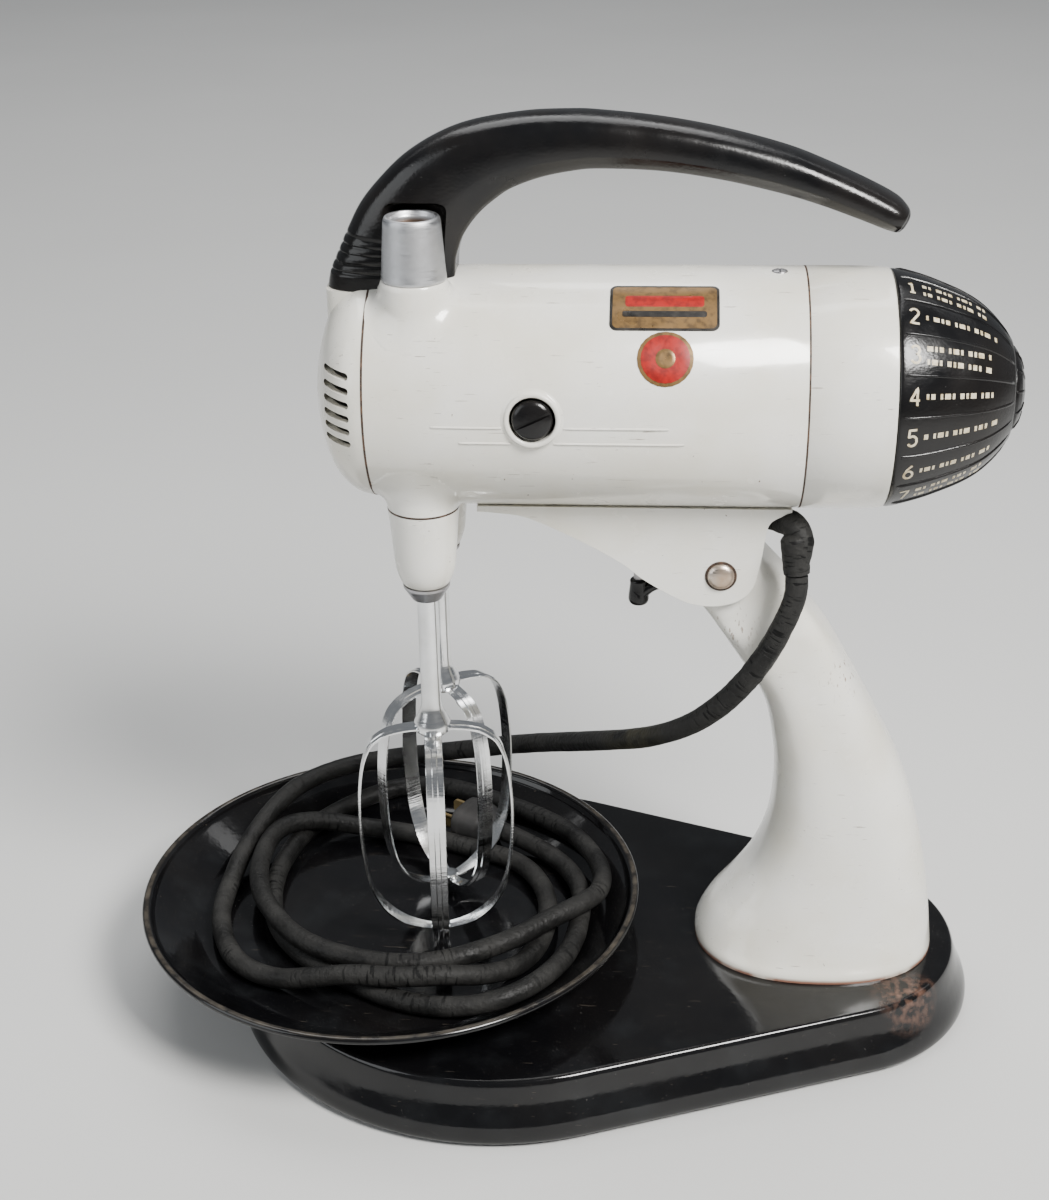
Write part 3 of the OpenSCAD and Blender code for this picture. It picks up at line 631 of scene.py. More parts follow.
def add_plug():
    """A moulded plug with finger ridges and two flat pins."""
    side = Vector((-PLUG_WAY.y, PLUG_WAY.x, 0))
    rings = []
    shape = [(-11, 4.9, 4.9), (-10.6, 5.6, 5.4), (-8, 6.6, 6.2), (-5.5, 8.6, 7.1), (-3, 10.2, 7.6),
             (4, 10.7, 7.8), (7.8, 10.7, 7.8), (8.8, 10.1, 7.3), (9, 9.4, 6.6)]
    for h, wide, tall in smooth_line(shape, 5):
        ridge = 0.35 * max(0.0, math.sin(h * 1.9)) if -3 < h < 5 else 0.0
        ring = []
        for a in around(40):
            spot = side * ((wide - ridge) * power(math.cos(a), 0.62))
            lift = Vector((0, 0, (tall - ridge) * power(math.sin(a), 0.7)))
            ring.append(at(*(PLUG_AT + PLUG_WAY * h + spot + lift)))
        rings.append(ring)
    plug = make("plug", join_rings(rings), "rubber", "stand", "cord_rubber", ["cord_plug"])
    blades = []
    for s in (-1, 1):
        rings = []
        for h, tall in ((6, 3.1), (17, 3.1), (18, 2.6), (18.4, 1.8)):
            spots = [(-0.75, -tall), (0.75, -tall), (0.75, tall), (-0.75, tall)]
            rings.append([at(*(PLUG_AT + PLUG_WAY * h + side * (s * 6.4 + u) + Vector((0, 0, v))))
                          for u, v in spots])
        blades.append(join_rings(rings))
    pins = make("plug_pins", merged(blades), "brass", "stand")
    return plug, pins


add_cord()


SLEEVE_TOP = -16.6


def add_sleeve():
    """The strain relief, a little lumpy and wider than the cord, that ends at the cord's mouth."""
    across = EXIT_WAY.orthogonal().normalized()
    other = EXIT_WAY.cross(across)
    profile = [(0.01, SLEEVE_TOP), (2.6, -16.4), (4.2, -15.6), (5.1, -14.4)]
    for i in range(29):
        h = -13.8 + 0.46 * i
        lump = 0.16 * noise.noise(Vector((h * 0.5, 3, 1)))
        profile.append((min(5.6, 5.4 - 0.015 * i + lump), h))
    profile += [(4.7, -0.85), (4.4, -0.7), (0.01, -0.7)]
    rings = []
    for r, h in profile:
        ring = []
        for a in around(40):
            out = across * math.cos(a) + other * math.sin(a)
            ring.append(at(*(Vector(MOUTH) + EXIT_WAY * h + out * r)))
        rings.append(ring)
    sleeve = make("sleeve", join_rings(rings), "cord_rubber", "arm", "rubber", ["cord_grommet"])
    lay_flat(sleeve, rings, [h - SLEEVE_TOP for r, h in profile])


def add_elbow():
    """The start of the cord, bending out of the arm's open rear end and down into the sleeve."""
    route = [(151.5, -8, 222.6), (155.5, -11, 223.4), (159.8, -15.5, 223.6), (163, -19.6, 223.4),
             (165.1, -22.8, 220), (165, -24.4, 215.6), (163.9, -25, 211.5)]
    line = even(smooth_line(route, 8), 0.8)

    def thickness(far, spot):
        return 5.1 + 0.3 * noise.noise(spot * 0.35)

    rings, travelled = sweep(line, Vector((0, 0, 1)), 24, thickness)
    elbow = make("cord_elbow", join_rings(rings), "cord_rubber", "arm", "rubber")
    lay_flat(elbow, rings, travelled)


add_sleeve()
add_elbow()


# ---------------------------------------------------------------- floor and lights


FLOOR = 30


def add_floor():
    """A wide, plain, pale floor."""
    mesh = bpy.data.meshes.new("floor")
    corners = [(-FLOOR, -FLOOR, 0), (FLOOR, -FLOOR, 0), (FLOOR, FLOOR, 0), (-FLOOR, FLOOR, 0)]
    mesh.from_pydata(corners, [], [(0, 1, 2, 3)])
    floor = bpy.data.objects.new("floor", mesh)
    bpy.context.collection.objects.link(floor)
    finish = Finish("floor_paper", (0.6, 0.6, 0.59), 0.6)
    finish.colour(finish.mix(finish.noise(3, 0.3, 0.7, 3), (0.6, 0.6, 0.59), (0.58, 0.58, 0.57)))
    mesh.materials.append(finish.material)


def add_light(name, place, target, size, watts, colour):
    """A soft square light at a place in metres, aimed at a target."""
    data = bpy.data.lights.new(name, "AREA")
    data.shape = "RECTANGLE"
    data.size = size[0]
    data.size_y = size[1]
    data.energy = watts
    data.color = colour
    light = bpy.data.objects.new(name, data)
    way = Vector(target) - Vector(place)
    light.matrix_world = Matrix.Translation(place) @ way.to_track_quat("-Z", "Y").to_matrix().to_4x4()
    bpy.context.collection.objects.link(light)


add_floor()
MACHINE = (0.0, 0.0, 0.2)
add_light("key", (0.75, -0.75, 1.25), MACHINE, (0.5, 0.5), 50, (1, 0.985, 0.96))
add_light("fill", (-1.2, -0.7, 0.8), MACHINE, (1.0, 1.0), 8, (0.95, 0.98, 1))
add_light("top", (-0.1, 0.5, 1.5), MACHINE, (1.2, 0.8), 12, (1, 1, 1))
add_light("backdrop", (0, 1.5, 2.4), (0, 4.2, 0), (4, 2), 60, (1, 1, 1))
world = bpy.data.worlds.new("studio")
world.use_nodes = True
world.node_tree.nodes["Background"].inputs["Color"].default_value = (0.86, 0.9, 0.95, 1)
world.node_tree.nodes["Background"].inputs["Strength"].default_value = 0.22
bpy.context.scene.world = world


# ---------------------------------------------------------------- base, turntable, pedestal

BASE_FRONT = (47, 113.6)
BASE_REAR = (180.5, 66.5)


def teardrop(inset, height, count=160):
    """The base's outline, made smaller by an inset: two arcs joined by straight sides."""
    meet = math.acos((BASE_FRONT[1] - BASE_REAR[1]) / (BASE_REAR[0] - BASE_FRONT[0]))
    ring = []
    half = count // 2
    for k in range(half):
        a = meet + (2 * math.pi - 2 * meet) * k / (half - 1)
        r = BASE_FRONT[1] - inset
        ring.append(at(BASE_FRONT[0] + r * math.cos(a), r * math.sin(a), height))
    for k in range(half):
        a = -meet + 2 * meet * k / (half - 1)
        r = BASE_REAR[1] - inset
        ring.append(at(BASE_REAR[0] + r * math.cos(a), r * math.sin(a), height))
    return ring


def add_base():
    """The hollow base: the teardrop outline followed round its curved side."""
    side = [(9.6, 27), (8.4, 26.9), (7.4, 26.2), (6.7, 24.8), (5.7, 21.5), (4.4, 17.5), (2.7, 13.5),
            (1.1, 10), (0.25, 7.2), (0, 5), (0.2, 3.2), (0.9, 2), (2, 1.5)]
    rings = [teardrop(40, 27), teardrop(12, 27)]
    rings += [teardrop(max(inset, 0), min(height, 27)) for inset, height in smooth_line(side, 3)]
    rings += [teardrop(3.2, 1.5), teardrop(3.6, 2.2), teardrop(11, 24.4)]
    make("base", join_rings(rings), "black_enamel", "stand", replaces=["base_shell"])


def add_turntable():
    """The dish with its rolled rim and its hub."""
    profile = rounded([(0, 29.6), (82, 29.6), (84.4, 30.6), (101.5, 41.9), (102.8, 44.3), (103.9, 45.3),
                       (105.6, 45.3), (106.5, 44.4), (106.5, 43.1), (104.2, 41.9), (85.2, 29.1), (83, 28),
                       (8.6, 28), (8.6, 17), (6.6, 17), (6.6, 28), (0, 28)], 1.3)
    make("dish", lathe(profile, upright(0, 0), 160), "black_enamel", "turntable", replaces=["turntable"],
         crease=50)


def add_pedestal():
    """The curved pedestal, from its wide foot to the tongue that holds the pivot."""
    front = smooth_line([(130.6, 27), (131.4, 32.5), (136, 42), (143.6, 51.8), (152.8, 65), (158.6, 80),
                         (161, 95), (161, 113), (159.4, 125.6), (156.4, 140.2), (152, 150.4),
                         (145.4, 161), (136.8, 174.9), (127.5, 187.7), (121, 195), (119.4, 203),
                         (122, 211), (129, 217.4), (137, 219)], 6)
    rear = smooth_line([(230.4, 27), (230, 31), (229, 40), (227.2, 54), (224, 72), (218.5, 94), (211.4, 114),
                        (201.3, 134), (191, 153), (180.7, 170.6), (169.8, 185.2), (161.6, 195.8),
                        (152.5, 205.5), (147, 214.5), (139, 219)], 6)
    half = smooth_line([(39, 27), (38.4, 29.5), (35, 34), (31, 44), (28, 62), (25.5, 95), (22.5, 135),
                        (19.8, 165), (18.4, 176), (16.3, 184), (16.3, 219)], 6)
    shape = [(2.3, 27), (2.4, 60), (2.6, 110), (3.0, 160), (5, 184), (7, 219)]
    rings = []
    heights = [27 + 0.8 * i for i in range(12)] + [37 + 2.5 * i for i in range(72)] + [217.5, 218.4, 218.9]
    for z in heights:
        x0 = level(front, z)
        x1 = level(rear, z)
        bend = 2 / level([Vector(s) for s in shape], z)
        ring = []
        for a in around(64):
            x = (x0 + x1) / 2 + (x1 - x0) / 2 * power(math.cos(a), bend)
            ring.append(at(x, level(half, z) * power(math.sin(a), bend), z))
        rings.append(ring)
    make("pedestal_shell", join_rings(rings), "white_enamel", "stand", replaces=["pedestal"], crease=60)


# ---------------------------------------------------------------- arm, pivot, lever

ARM_HALF = 19.5


def prism(outline, half, y=0.0):
    """A flat outline of (x, z) points given a thickness across y."""
    rings = []
    for side in (-1, 1):
        rings.append([at(x, y + side * half, z) for x, z in outline])
    return join_rings(rings)


def add_arm():
    """The arm: a channel, open below and at its rear end."""
    under = [(43.4, 227.6), (50, 227.2), (63.1, 225.1), (83.6, 215.5), (98.8, 206.5), (106.5, 200.3),
             (117.3, 193.7), (124.3, 190.5), (131.6, 189.3), (138.1, 189.9), (143.8, 192.1),
             (148.6, 197.5), (151.1, 208.2), (152.6, 219), (154.6, 224.8), (162, 228.6)]
    outline = [(43.4, 229.9)] + [tuple(p) for p in smooth_line(under, 4)] + [(162, 229.9)]
    arm = make("arm_shell", prism(outline, ARM_HALF), "white_enamel", "arm", replaces=["arm"], crease=40)
    inner = [(50, 170), (50, 226.9), (170, 226.9), (170, 170)]
    cut(arm, make("channel", prism(inner, ARM_HALF - 3), "white_enamel", None))
    soften(arm, 1.1, 50)


def add_pivot():
    """The pivot pin with two domed heads, and a dark line round each."""
    half = [(5.2, 19.53), (5.1, 20.3), (4.7, 21), (3.6, 21.6), (1.8, 21.95), (0, 22)]
    profile = [(r, -h) for r, h in reversed(half)] + [(4, -19.5), (4, 19.5)] + half

    def place(r, h, a):
        return at(PIVOT_X + r * math.cos(a), h, PIVOT_Z + r * math.sin(a))

    make("pivot", lathe(profile, place, 48), "nickel", "arm", replaces=["pivot_pin"], crease=50)
    for side in (-1, 1):
        ring = [(5.0, side * 19.3), (6.1, side * 19.3), (6.1, side * 19.75), (5.0, side * 19.85)]
        make(f"pivot_edge_{side}", lathe(ring, place, 48, closed=True), "seam_dirt", "arm")


def add_knob():
    """The black knob of the shift lever and the neck that runs back from it."""
    profile = smooth_line([(0, 185.2), (2.2, 185.25), (3.4, 185.8), (3.95, 187), (4, 188.4), (3.7, 191.4),
                           (3.45, 194), (3.5, 195.2), (2.9, 195.9), (2.02, 196)], 3)
    profile += [Vector((2.02, 187.9)), Vector((0, 187.9))]
    profile = [(r, min(max(h, 185.2), 196)) for r, h in profile]
    make("knob", lathe(profile, upright(104.9, -9), 40), "bakelite", "shift_lever", replaces=["lever_knob"],
         crease=60)
    route = [(104.7, -9, 189.5), (106.8, -9, 191.2), (109.6, -9, 192.6), (113, -9, 193.2), (117, -9, 193.3)]
    line = even(smooth_line(route, 6), 0.5)

    def thickness(far, spot):
        return 4.25 - 2.65 * min(far / 9, 1) ** 0.8

    rings, travelled = sweep(line, Vector((0, 1, 0)), 20, thickness)
    make("knob_neck", join_rings(rings), "bakelite", "shift_lever", crease=60)


# ---------------------------------------------------------------- head

NOSE = [(0, -17), (6, -16.8), (13, -15.9), (19, -14.5), (25, -12.7), (29.5, -11), (33.3, -8.9), (36.3, -6.5),
        (38.8, -3.7), (40.6, -0.7), (41.6, 2.2), (42, 5)]
BODY = [(42, 5.3), (43.1, 13), (44.1, 22), (44.8, 32), (BODY_R, 42), (BODY_R, BODY_END)]
FLAT_Z = 230.2


def head_radius(x):
    """The outer radius of the nose or housing at a distance along the motor."""
    line = NOSE + BODY
    for (r0, x0), (r1, x1) in zip(line, line[1:]):
        if x0 <= x <= x1:
            return r0 + (r1 - r0) * (x - x0) / (x1 - x0)
    return line[0][0] if x < line[0][1] else line[-1][0]


def head_surface(x, y, side):
    """The height of the head's surface over or under a point; side is 1 above and -1 below."""
    inside = max(head_radius(x) ** 2 - y * y, 0)
    height = MOTOR_Z + side * math.sqrt(inside)
    if side < 0 and 38 <= x <= BODY_END:
        height = max(height, FLAT_Z)
    return height


def add_nose():
    """The nose cover with six cooling slots on each side."""
    outer = smooth_line(NOSE, 4)
    inner = [(39.4, 5), (38.2, 0.4), (36, -3), (33.6, -5.4), (28, -8.4), (18, -11.9), (5.5, -14.2),
             (0, -14.4)]
    nose = make("nose", lathe(outer + inner, along_motor, 128), "white_enamel", "head",
                replaces=["front_cover"])
    slots = []
    lean = math.radians(5)
    for side in (-1, 1):
        for i in range(6):
            rings = []
            for y in (20, 47):
                ring = []
                for a in around(24):
                    u = 4 * (1 if math.cos(a) > 0 else -1) + 1.2 * math.cos(a)
                    v = 1.3 * math.sin(a)
                    x = -5 + u * math.cos(lean) + v * math.sin(lean)
                    z = MOTOR_Z + 15.7 - 5 * i - u * math.sin(lean) + v * math.cos(lean)
                    ring.append(at(x, side * y, z))
                rings.append(ring)
            slots.append(join_rings(rings))
    cut(nose, make("slots", merged(slots), "white_enamel", None))


def add_housing():
    """The round housing, with its flat underside behind the necks and a hole at each brush."""
    profile = [tuple(p) for p in smooth_line(BODY[:5], 3) if p.y < 37.9]
    profile += [(44.93, 37.99), (44.93, 38.01), (BODY_R, 42), (BODY_R, 163.8), (44.8, BODY_END)]
    profile += [(42.5, BODY_END), (42.5, 42), (42.4, 38.01), (42.4, 37.99), (41.6, 22), (39.5, 5.3)]

    def place(r, x, a):
        spot = along_motor(r, x, a)
        floor = (FLAT_Z if r > 42.6 else FLAT_Z + 2.8) * MM
        if x > 38:
            spot.z = max(spot.z, floor)
        return spot

    shell = make("housing_shell", lathe(profile, place, 160, closed=True), "white_enamel", "head",
                 replaces=["housing"])
    for side in (-1, 1):
        hole = [(0, 36), (8.6, 36), (8.6, 52), (0, 52)]
        cut(shell, make("brush_hole", lathe(hole, brush_way(side), 48), "white_enamel", None))


def boss(name, y, side, radius, flare, profile):
    """An upright round boss that flares out of the head's surface with a soft fillet."""
    sides = 72
    rings = []
    for step in range(11):
        turn = math.pi / 2 * (step - 1) / 9
        ring = []
        for a in around(sides):
            edge = head_surface(SPINDLE_X + radius * math.cos(a), y + radius * math.sin(a), side)
            room = max((profile[0][1] - edge) * side * 0.9, 0.0)
            own = min(flare, room)
            out = radius + own * (1 - math.sin(max(turn, 0)))
            x = SPINDLE_X + out * math.cos(a)
            spot = head_surface(x, y + out * math.sin(a), side)
            z = spot + side * (own * (1 - math.cos(max(turn, 0))) - (0.5 if step == 0 else 0))
            if room == 0:
                z = profile[0][1]
            ring.append(at(x, y + out * math.sin(a), z))
        rings.append(ring)
    for r, h in profile:
        rings.append([at(SPINDLE_X + r * math.cos(a), y + r * math.sin(a), h) for a in around(sides)])
    return make(name, join_rings(rings), "white_enamel", "head", crease=50)


def add_bosses():
    """The two necks below, the boss under the drive cap and the small pad beside it."""
    neck = [(13.6, 229.2), (13.3, 226), (13, 223.3), (12.4, 215), (11.9, 208), (11.5, 204.8), (10.9, 202.4),
            (10.1, 200), (9.3, 198.4), (8.6, 197.7), (6, 197.7)]
    for name, y in (("neck_left", -SPINDLE_Y), ("neck_right", SPINDLE_Y)):
        boss(name, y, -1, 13.6, 8, neck)
        seam = [(13.2, 230.1), (13.68, 230.1), (13.66, 229.3), (13.2, 229.3)]
        make(name + "_seam", lathe(seam, upright(SPINDLE_X, y), 64, closed=True), "seam_dirt", "head")
    boss("cap_boss", -SPINDLE_Y, 1, 13.2, 6, [(12.6, 315.6), (12.3, 317.1), (11.9, 317.6), (6, 317.6)])
    boss("far_pad", SPINDLE_Y, 1, 9, 2, [(9, 313.2), (8.5, 313.9), (6, 314)])


def add_brush_parts():
    """A raised ring and a slotted cap at each brush."""
    for name, side in (("left", 1), ("right", -1)):
        place = brush_way(side)
        rings = []
        lip = [(8.35, 41), (8.35, 45.2), (8.6, 45.7), (9.0, 45.9), (9.6, 45.9), (10, 45.7), (10.2, 45.3)]
        for r, h in lip:
            rings.append([place(r, h, a) for a in around(64)])
        for r, above in ((10.3, 0.45), (10.7, 0.2), (11.3, 0.04), (12, -0.3)):
            ring = []
            for a in around(64):
                skin = math.sqrt(BODY_R ** 2 - (r * math.sin(a)) ** 2)
                ring.append(place(r, min(skin + above, 45.3), a))
            rings.append(ring)
        make("brush_ring_" + name, join_rings(rings, cap=False), "white_enamel", "head", crease=60)
        dome = rounded([(0, 41.7), (7.4, 41.7), (7.4, 45.4), (6.2, 46.4), (3.4, 47.15), (0, 47.4)], 0.8)
        cap = make("brush_cap_shell_" + name, lathe(dome, place, 56),
                   "bakelite", "head", replaces=["brush_cap_" + name])
        corners = []
        for h in (45.7, 49):
            for u, v in ((-9, -0.7), (9, -0.7), (9, 0.7), (-9, 0.7)):
                corners.append(place(math.hypot(u, v), h, math.atan2(v, u) + math.radians(25)))
        faces = [(0, 1, 2, 3), (4, 5, 6, 7), (0, 1, 5, 4), (1, 2, 6, 5), (2, 3, 7, 6), (3, 0, 4, 7)]
        cut(cap, make("slot", (corners, faces), "bakelite", None))


def bead(name, elevation, x0, x1):
    """A fine raised line along the head at an elevation above the near side, in degrees."""
    width = 1.1
    lift = 0.5
    rings = []
    count = 24
    for i in range(count + 1):
        x = x0 + (x1 - x0) * i / count
        end = 0.35 if i in (0, count) else 1
        r = head_radius(x)
        ring = []
        for u, v in ((-0.5, -0.3), (-0.38, 0.5), (0, 1), (0.38, 0.5), (0.5, -0.3)):
            a = math.radians(elevation) + u * width / r
            ring.append(along_motor(r + v * lift * end, x, a))
        rings.append(ring)
    make(name, join_rings(rings), "white_enamel", "head", crease=60)


def add_lines():
    """Two pairs of raised lines on each side, broken at the brush."""
    for side, start in (("near", 0), ("far", 180)):
        way = 1 if side == "near" else -1
        for part, x0, x1 in (("front", 30, BRUSH_X - 11), ("rear", BRUSH_X + 11, 115)):
            bead(f"line_high_{side}_{part}", start - way * 0.9, x0, x1)
        for part, x0, x1 in (("front", 40, BRUSH_X - 7.5), ("rear", BRUSH_X + 7.5, 120.6)):
            bead(f"line_low_{side}_{part}", start - way * 8.5, x0, x1)


def add_rear_ring():
    """The plain rear ring, and the dark seams at both ends of the housing."""
    profile = [(44.7, 164.4), (45, 164.8), (45, 184), (44.8, 190), (44.3, 194.8), (43.9, 195.2),
               (41.5, 195.2), (41.5, 187), (6.1, 187), (6.1, 184), (41.5, 184), (41.5, 164.4)]
    make("rear_band", lathe(profile, along_motor, 144, closed=True), "white_enamel", "head",
         replaces=["rear_ring"])
    for name, r, x, half in (("front_seam", 42.05, 5.15, 0.42), ("rear_seam", 44.98, 164.25, 0.34)):
        ring = [(r - 1.5, x - half), (r, x - half), (r, x + half), (r - 1.5, x + half)]
        make(name, lathe(ring, along_motor, 128, closed=True), "seam_dirt", "head")


def screw_head(name, x, y, radius, top):
    """A slotted round-headed screw, seen from above."""
    corners = [(0, top - 2), (radius, top - 2), (radius, top - 0.5), (radius * 0.6, top), (0, top)]
    profile = rounded(corners, 0.4)
    head = make(name, lathe(profile, upright(x, y), 32), "steel", "head")
    slot = [(x - 0.35, top - 0.55), (x + 0.35, top - 0.55), (x + 0.35, top + 1), (x - 0.35, top + 1)]
    cut(head, make("slot", prism(slot, radius + 1, y), "steel", None))


# ---------------------------------------------------------------- handle and drive cap

# Stations along the handle: x and z of its outer edge, then of its inner edge.
HANDLE_EDGES = [
    (-11.4, 309.9, 36.4, 312), (-10.2, 316, 36.6, 316), (-7.7, 321.6, 37, 321.5), (-3.5, 330.6, 38.2, 326),
    (2.3, 341.3, 39.8, 330.2), (10.4, 350.8, 43, 335.2), (19.5, 359, 47, 339.8), (31.6, 366.1, 52, 344),
    (44.3, 370.5, 58, 347.9), (62.5, 373.4, 68, 351.6), (78, 374, 79, 353.9), (89, 373.6, 89.2, 354.8),
    (111.2, 371.2, 110.5, 354), (133.4, 367.1, 131, 351.1), (155.8, 361.1, 151, 346.7),
    (171.2, 355.1, 166, 342.4), (186.3, 348.2, 180.5, 337.2), (195.5, 343.2, 189.5, 333.7),
    (199.2, 339.6, 195, 331.8)]
# Half of its cross-section: share of the half width, then from 1 at the outer edge to -1 at the inner.
HANDLE_CUT = [(0, 1), (0.2, 0.99), (0.4, 0.95), (0.6, 0.87), (0.76, 0.76), (0.88, 0.6), (0.96, 0.4),
              (1, 0.15), (1, -0.15), (0.995, -0.34), (0.98, -0.43), (0.94, -0.52), (0.84, -0.72),
              (0.74, -0.92), (0.68, -0.98), (0.6, -1), (0.3, -1), (0, -1)]
HANDLE_TOP = 373.95
HANDLE_HALF = 12.5


def add_handle():
    """The handle with its finger grooves and the niche for the drive cap, and the pad that it stands on."""
    outline = HANDLE_CUT + [(-w, v) for w, v in reversed(HANDLE_CUT[1:-1])]
    rows = smooth_line(HANDLE_EDGES, 14)
    rings = []
    for i, (x0, z0, x1, z1) in enumerate(rows):
        top = Vector((x0, 0, z0))
        low = Vector((x1, 0, z1))
        centre = (top + low) / 2
        reach = (top - low) / 2
        left = (len(rows) - 1 - i) / 16
        wide = HANDLE_HALF if left > 1 else HANDLE_HALF * (0.72 + 0.28 * math.sqrt(1 - (1 - left) ** 2))
        dent = 0.0
        for groove in range(5):
            dent = max(dent, 1 - abs(z0 - 317 - 3.3 * groove) / 0.8)
        ring = []
        for w, v in outline:
            front = min(max((v + 0.1) * 1.8, 0), 1)
            inset = 0.75 * dent * front
            spot = centre + reach * v * (1 - inset / 22)
            ring.append(at(spot.x, (wide - inset) * w, min(spot.z, HANDLE_TOP)))
        rings.append(ring)
    end = rings[-1]
    heart = sum(end, Vector()) / len(end)
    onward = Vector((1, 0, -0.62)).normalized()
    for grow, on in ((0.93, 0.7), (0.8, 1.25), (0.55, 1.6), (0.25, 1.75)):
        rings.append([heart + (p - heart) * grow + onward * on * MM for p in end])
    handle = make("handle_bar", join_rings(rings), "bakelite", "head", replaces=["handle"], crease=45)
    niche = rounded([(0, 290), (13.5, 290), (13.5, 343.5), (0, 343.5)], 4, 8)
    cut(handle, make("niche", lathe(niche, upright(SPINDLE_X, -SPINDLE_Y), 64), "bakelite", None))
    seat = []
    for on_head in (False, True):
        ring = []
        for a in around(48):
            x = 12.5 + 24.2 * power(math.cos(a), 0.45)
            y = 11.7 * power(math.sin(a), 0.45)
            ring.append(at(x, y, head_surface(max(x, -15.5), y, 1) - 1.5 if on_head else 310.6 + 0.02 * x))
        seat.append(ring)
    make("handle_seat", join_rings(seat), "white_enamel", "head", crease=50)


def add_drive_cap():
    """The cap over the upper drive, dished on top."""
    profile = rounded([(0, 317.7), (11.7, 317.7), (11.9, 318.6), (11.6, 321), (10.4, 339), (9.8, 340.6),
                       (8.6, 340.6), (7.8, 338.2), (3, 337.4), (0, 337.6)], 0.9)
    make("cap_turned", lathe(profile, upright(SPINDLE_X, -SPINDLE_Y), 72),
         "aluminium", "head", replaces=["drive_cap"], crease=50)


# ---------------------------------------------------------------- speed dial

DIAL = [(43.6, 195.6), (44, 196.8), (42.9, 202), (41, 208.5), (38.4, 215.3), (35.6, 221.8), (32.2, 227.8),
        (28.3, 232.6), (24, 236.6), (19.5, 240)]
DIAL_LINE = smooth_line(DIAL, 4)


def dial_radius(x):
    """The dial's outer radius at a distance along the motor."""
    return level(DIAL_LINE, x)


def add_dial():
    """The ribbed dial with its end button, numbers and dashes."""
    outer = [tuple(p) for p in DIAL_LINE]
    inner = [(16.9, 240), (16.9, 236), (22, 232), (29, 225), (36, 213), (40.6, 200), (40.8, 195.6)]
    make("dial_shell", lathe(outer + inner, along_motor, 144, closed=True), "bakelite", "dial",
         replaces=["speed_dial"], crease=50)
    for i in range(18):
        rings = []
        for k in range(25):
            x = 197.6 + 41.6 * k / 24
            end = 0.3 if k in (0, 24) else 1
            r = dial_radius(x)
            ring = []
            for u, v in ((-0.75, -0.35), (-0.5, 0.34), (-0.2, 0.6), (0.2, 0.6), (0.5, 0.34), (0.75, -0.35)):
                a = math.radians(20 * i + 5) + u / max(r, 20)
                ring.append(along_motor(r + v * end, x, a))
            rings.append(ring)
        make(f"dial_rib_{i}", join_rings(rings), "bakelite", "dial", crease=70)
    hub = rounded([(0, 236), (16.6, 236), (16.6, 239), (16, 241.6), (13.2, 243.6), (8, 245.4), (0, 246)], 0.8)
    hub = [(0, 179), (8, 179), (8, 181.4), (6, 181.4), (6, 236)] + hub[1:]
    make("dial_knob", lathe(hub, along_motor, 72), "bakelite", "dial", replaces=["dial_hub"], crease=50)
    for i in range(12):
        rings = []
        for r, x in ((16.2, 239.6), (15.7, 241.9), (13.2, 243.6), (10.5, 244.6), (9, 245)):
            ring = []
            for u, v in ((-0.7, -0.3), (-0.4, 0.35), (0.4, 0.35), (0.7, -0.3)):
                ring.append(along_motor(r + v * 0.5, x + v * 0.7, math.radians(30 * i + 15) + u / r))
            rings.append(ring)
        make(f"hub_rib_{i}", join_rings(rings), "bakelite", "dial", crease=70)
    for number in range(1, 8):
        add_panel(number)


def on_dial(centre, x, v, lift):
    """A point on the dial: x along the motor, v millimetres up round it from a panel's centre."""
    r = dial_radius(x)
    return along_motor(r + lift, x, math.radians(centre) + v / r)


INK_LIFT = 0.07


def strip(spots, centre, width):
    """A thin printed stroke on the dial through (x, v) spots."""
    line = []
    for a, b in zip(spots, spots[1:]):
        steps = max(2, int((Vector(b) - Vector(a)).length / 0.7))
        line += [Vector(a).lerp(Vector(b), k / steps) for k in range(steps)]
    line.append(Vector(spots[-1]))
    points = []
    faces = []
    for i, here in enumerate(line):
        way = (line[min(i + 1, len(line) - 1)] - line[max(i - 1, 0)]).normalized()
        side = Vector((-way.y, way.x)) * width / 2
        for sign, high in ((-1, -0.2), (-1, INK_LIFT), (1, INK_LIFT), (1, -0.2)):
            spot = here + side * sign
            points.append(on_dial(centre, spot.x, spot.y, high))
        if i:
            for k in range(4):
                n = (k + 1) % 4
                faces.append((4 * i - 4 + k, 4 * i - 4 + n, 4 * i + n, 4 * i + k))
    faces.append((0, 1, 2, 3))
    faces.append(tuple(len(points) - 4 + k for k in range(4)))
    return points, faces


def arc(x, v, rx, rv, start, end):
    """Spots along part of an ellipse, between two angles in degrees."""
    steps = 12
    return [(x + rx * math.cos(math.radians(start + (end - start) * k / steps)),
             v + rv * math.sin(math.radians(start + (end - start) * k / steps))) for k in range(steps + 1)]


DIGITS = {
    1: [[(-1.2, 2.6), (0.3, 4.2), (0.3, -4.2)], [(-1.1, -4.2), (1.7, -4.2)]],
    2: [arc(0, 2.1, 2.1, 2.1, 165, -35) + [(-2.1, -4.2), (2.3, -4.2)]],
    3: [arc(-0.1, 2.1, 2, 2.1, 160, -80) + arc(-0.1, -2, 2.3, 2.2, 80, -160)],
    4: [[(2.4, -1.6), (-2.3, -1.6), (1.2, 4.2), (1.2, -4.2)]],
    5: [[(2, 4.2), (-1.7, 4.2), (-1.9, 0.5)] + arc(-0.1, -1.5, 2.3, 2.6, 115, -150)],
    6: [[(1.6, 4.2), (-0.9, 1.9)] + arc(0, -1.7, 2.2, 2.5, 150, -210)],
    7: [[(-2.2, 4.2), (2.3, 4.2), (-0.5, -4.2)]],
}


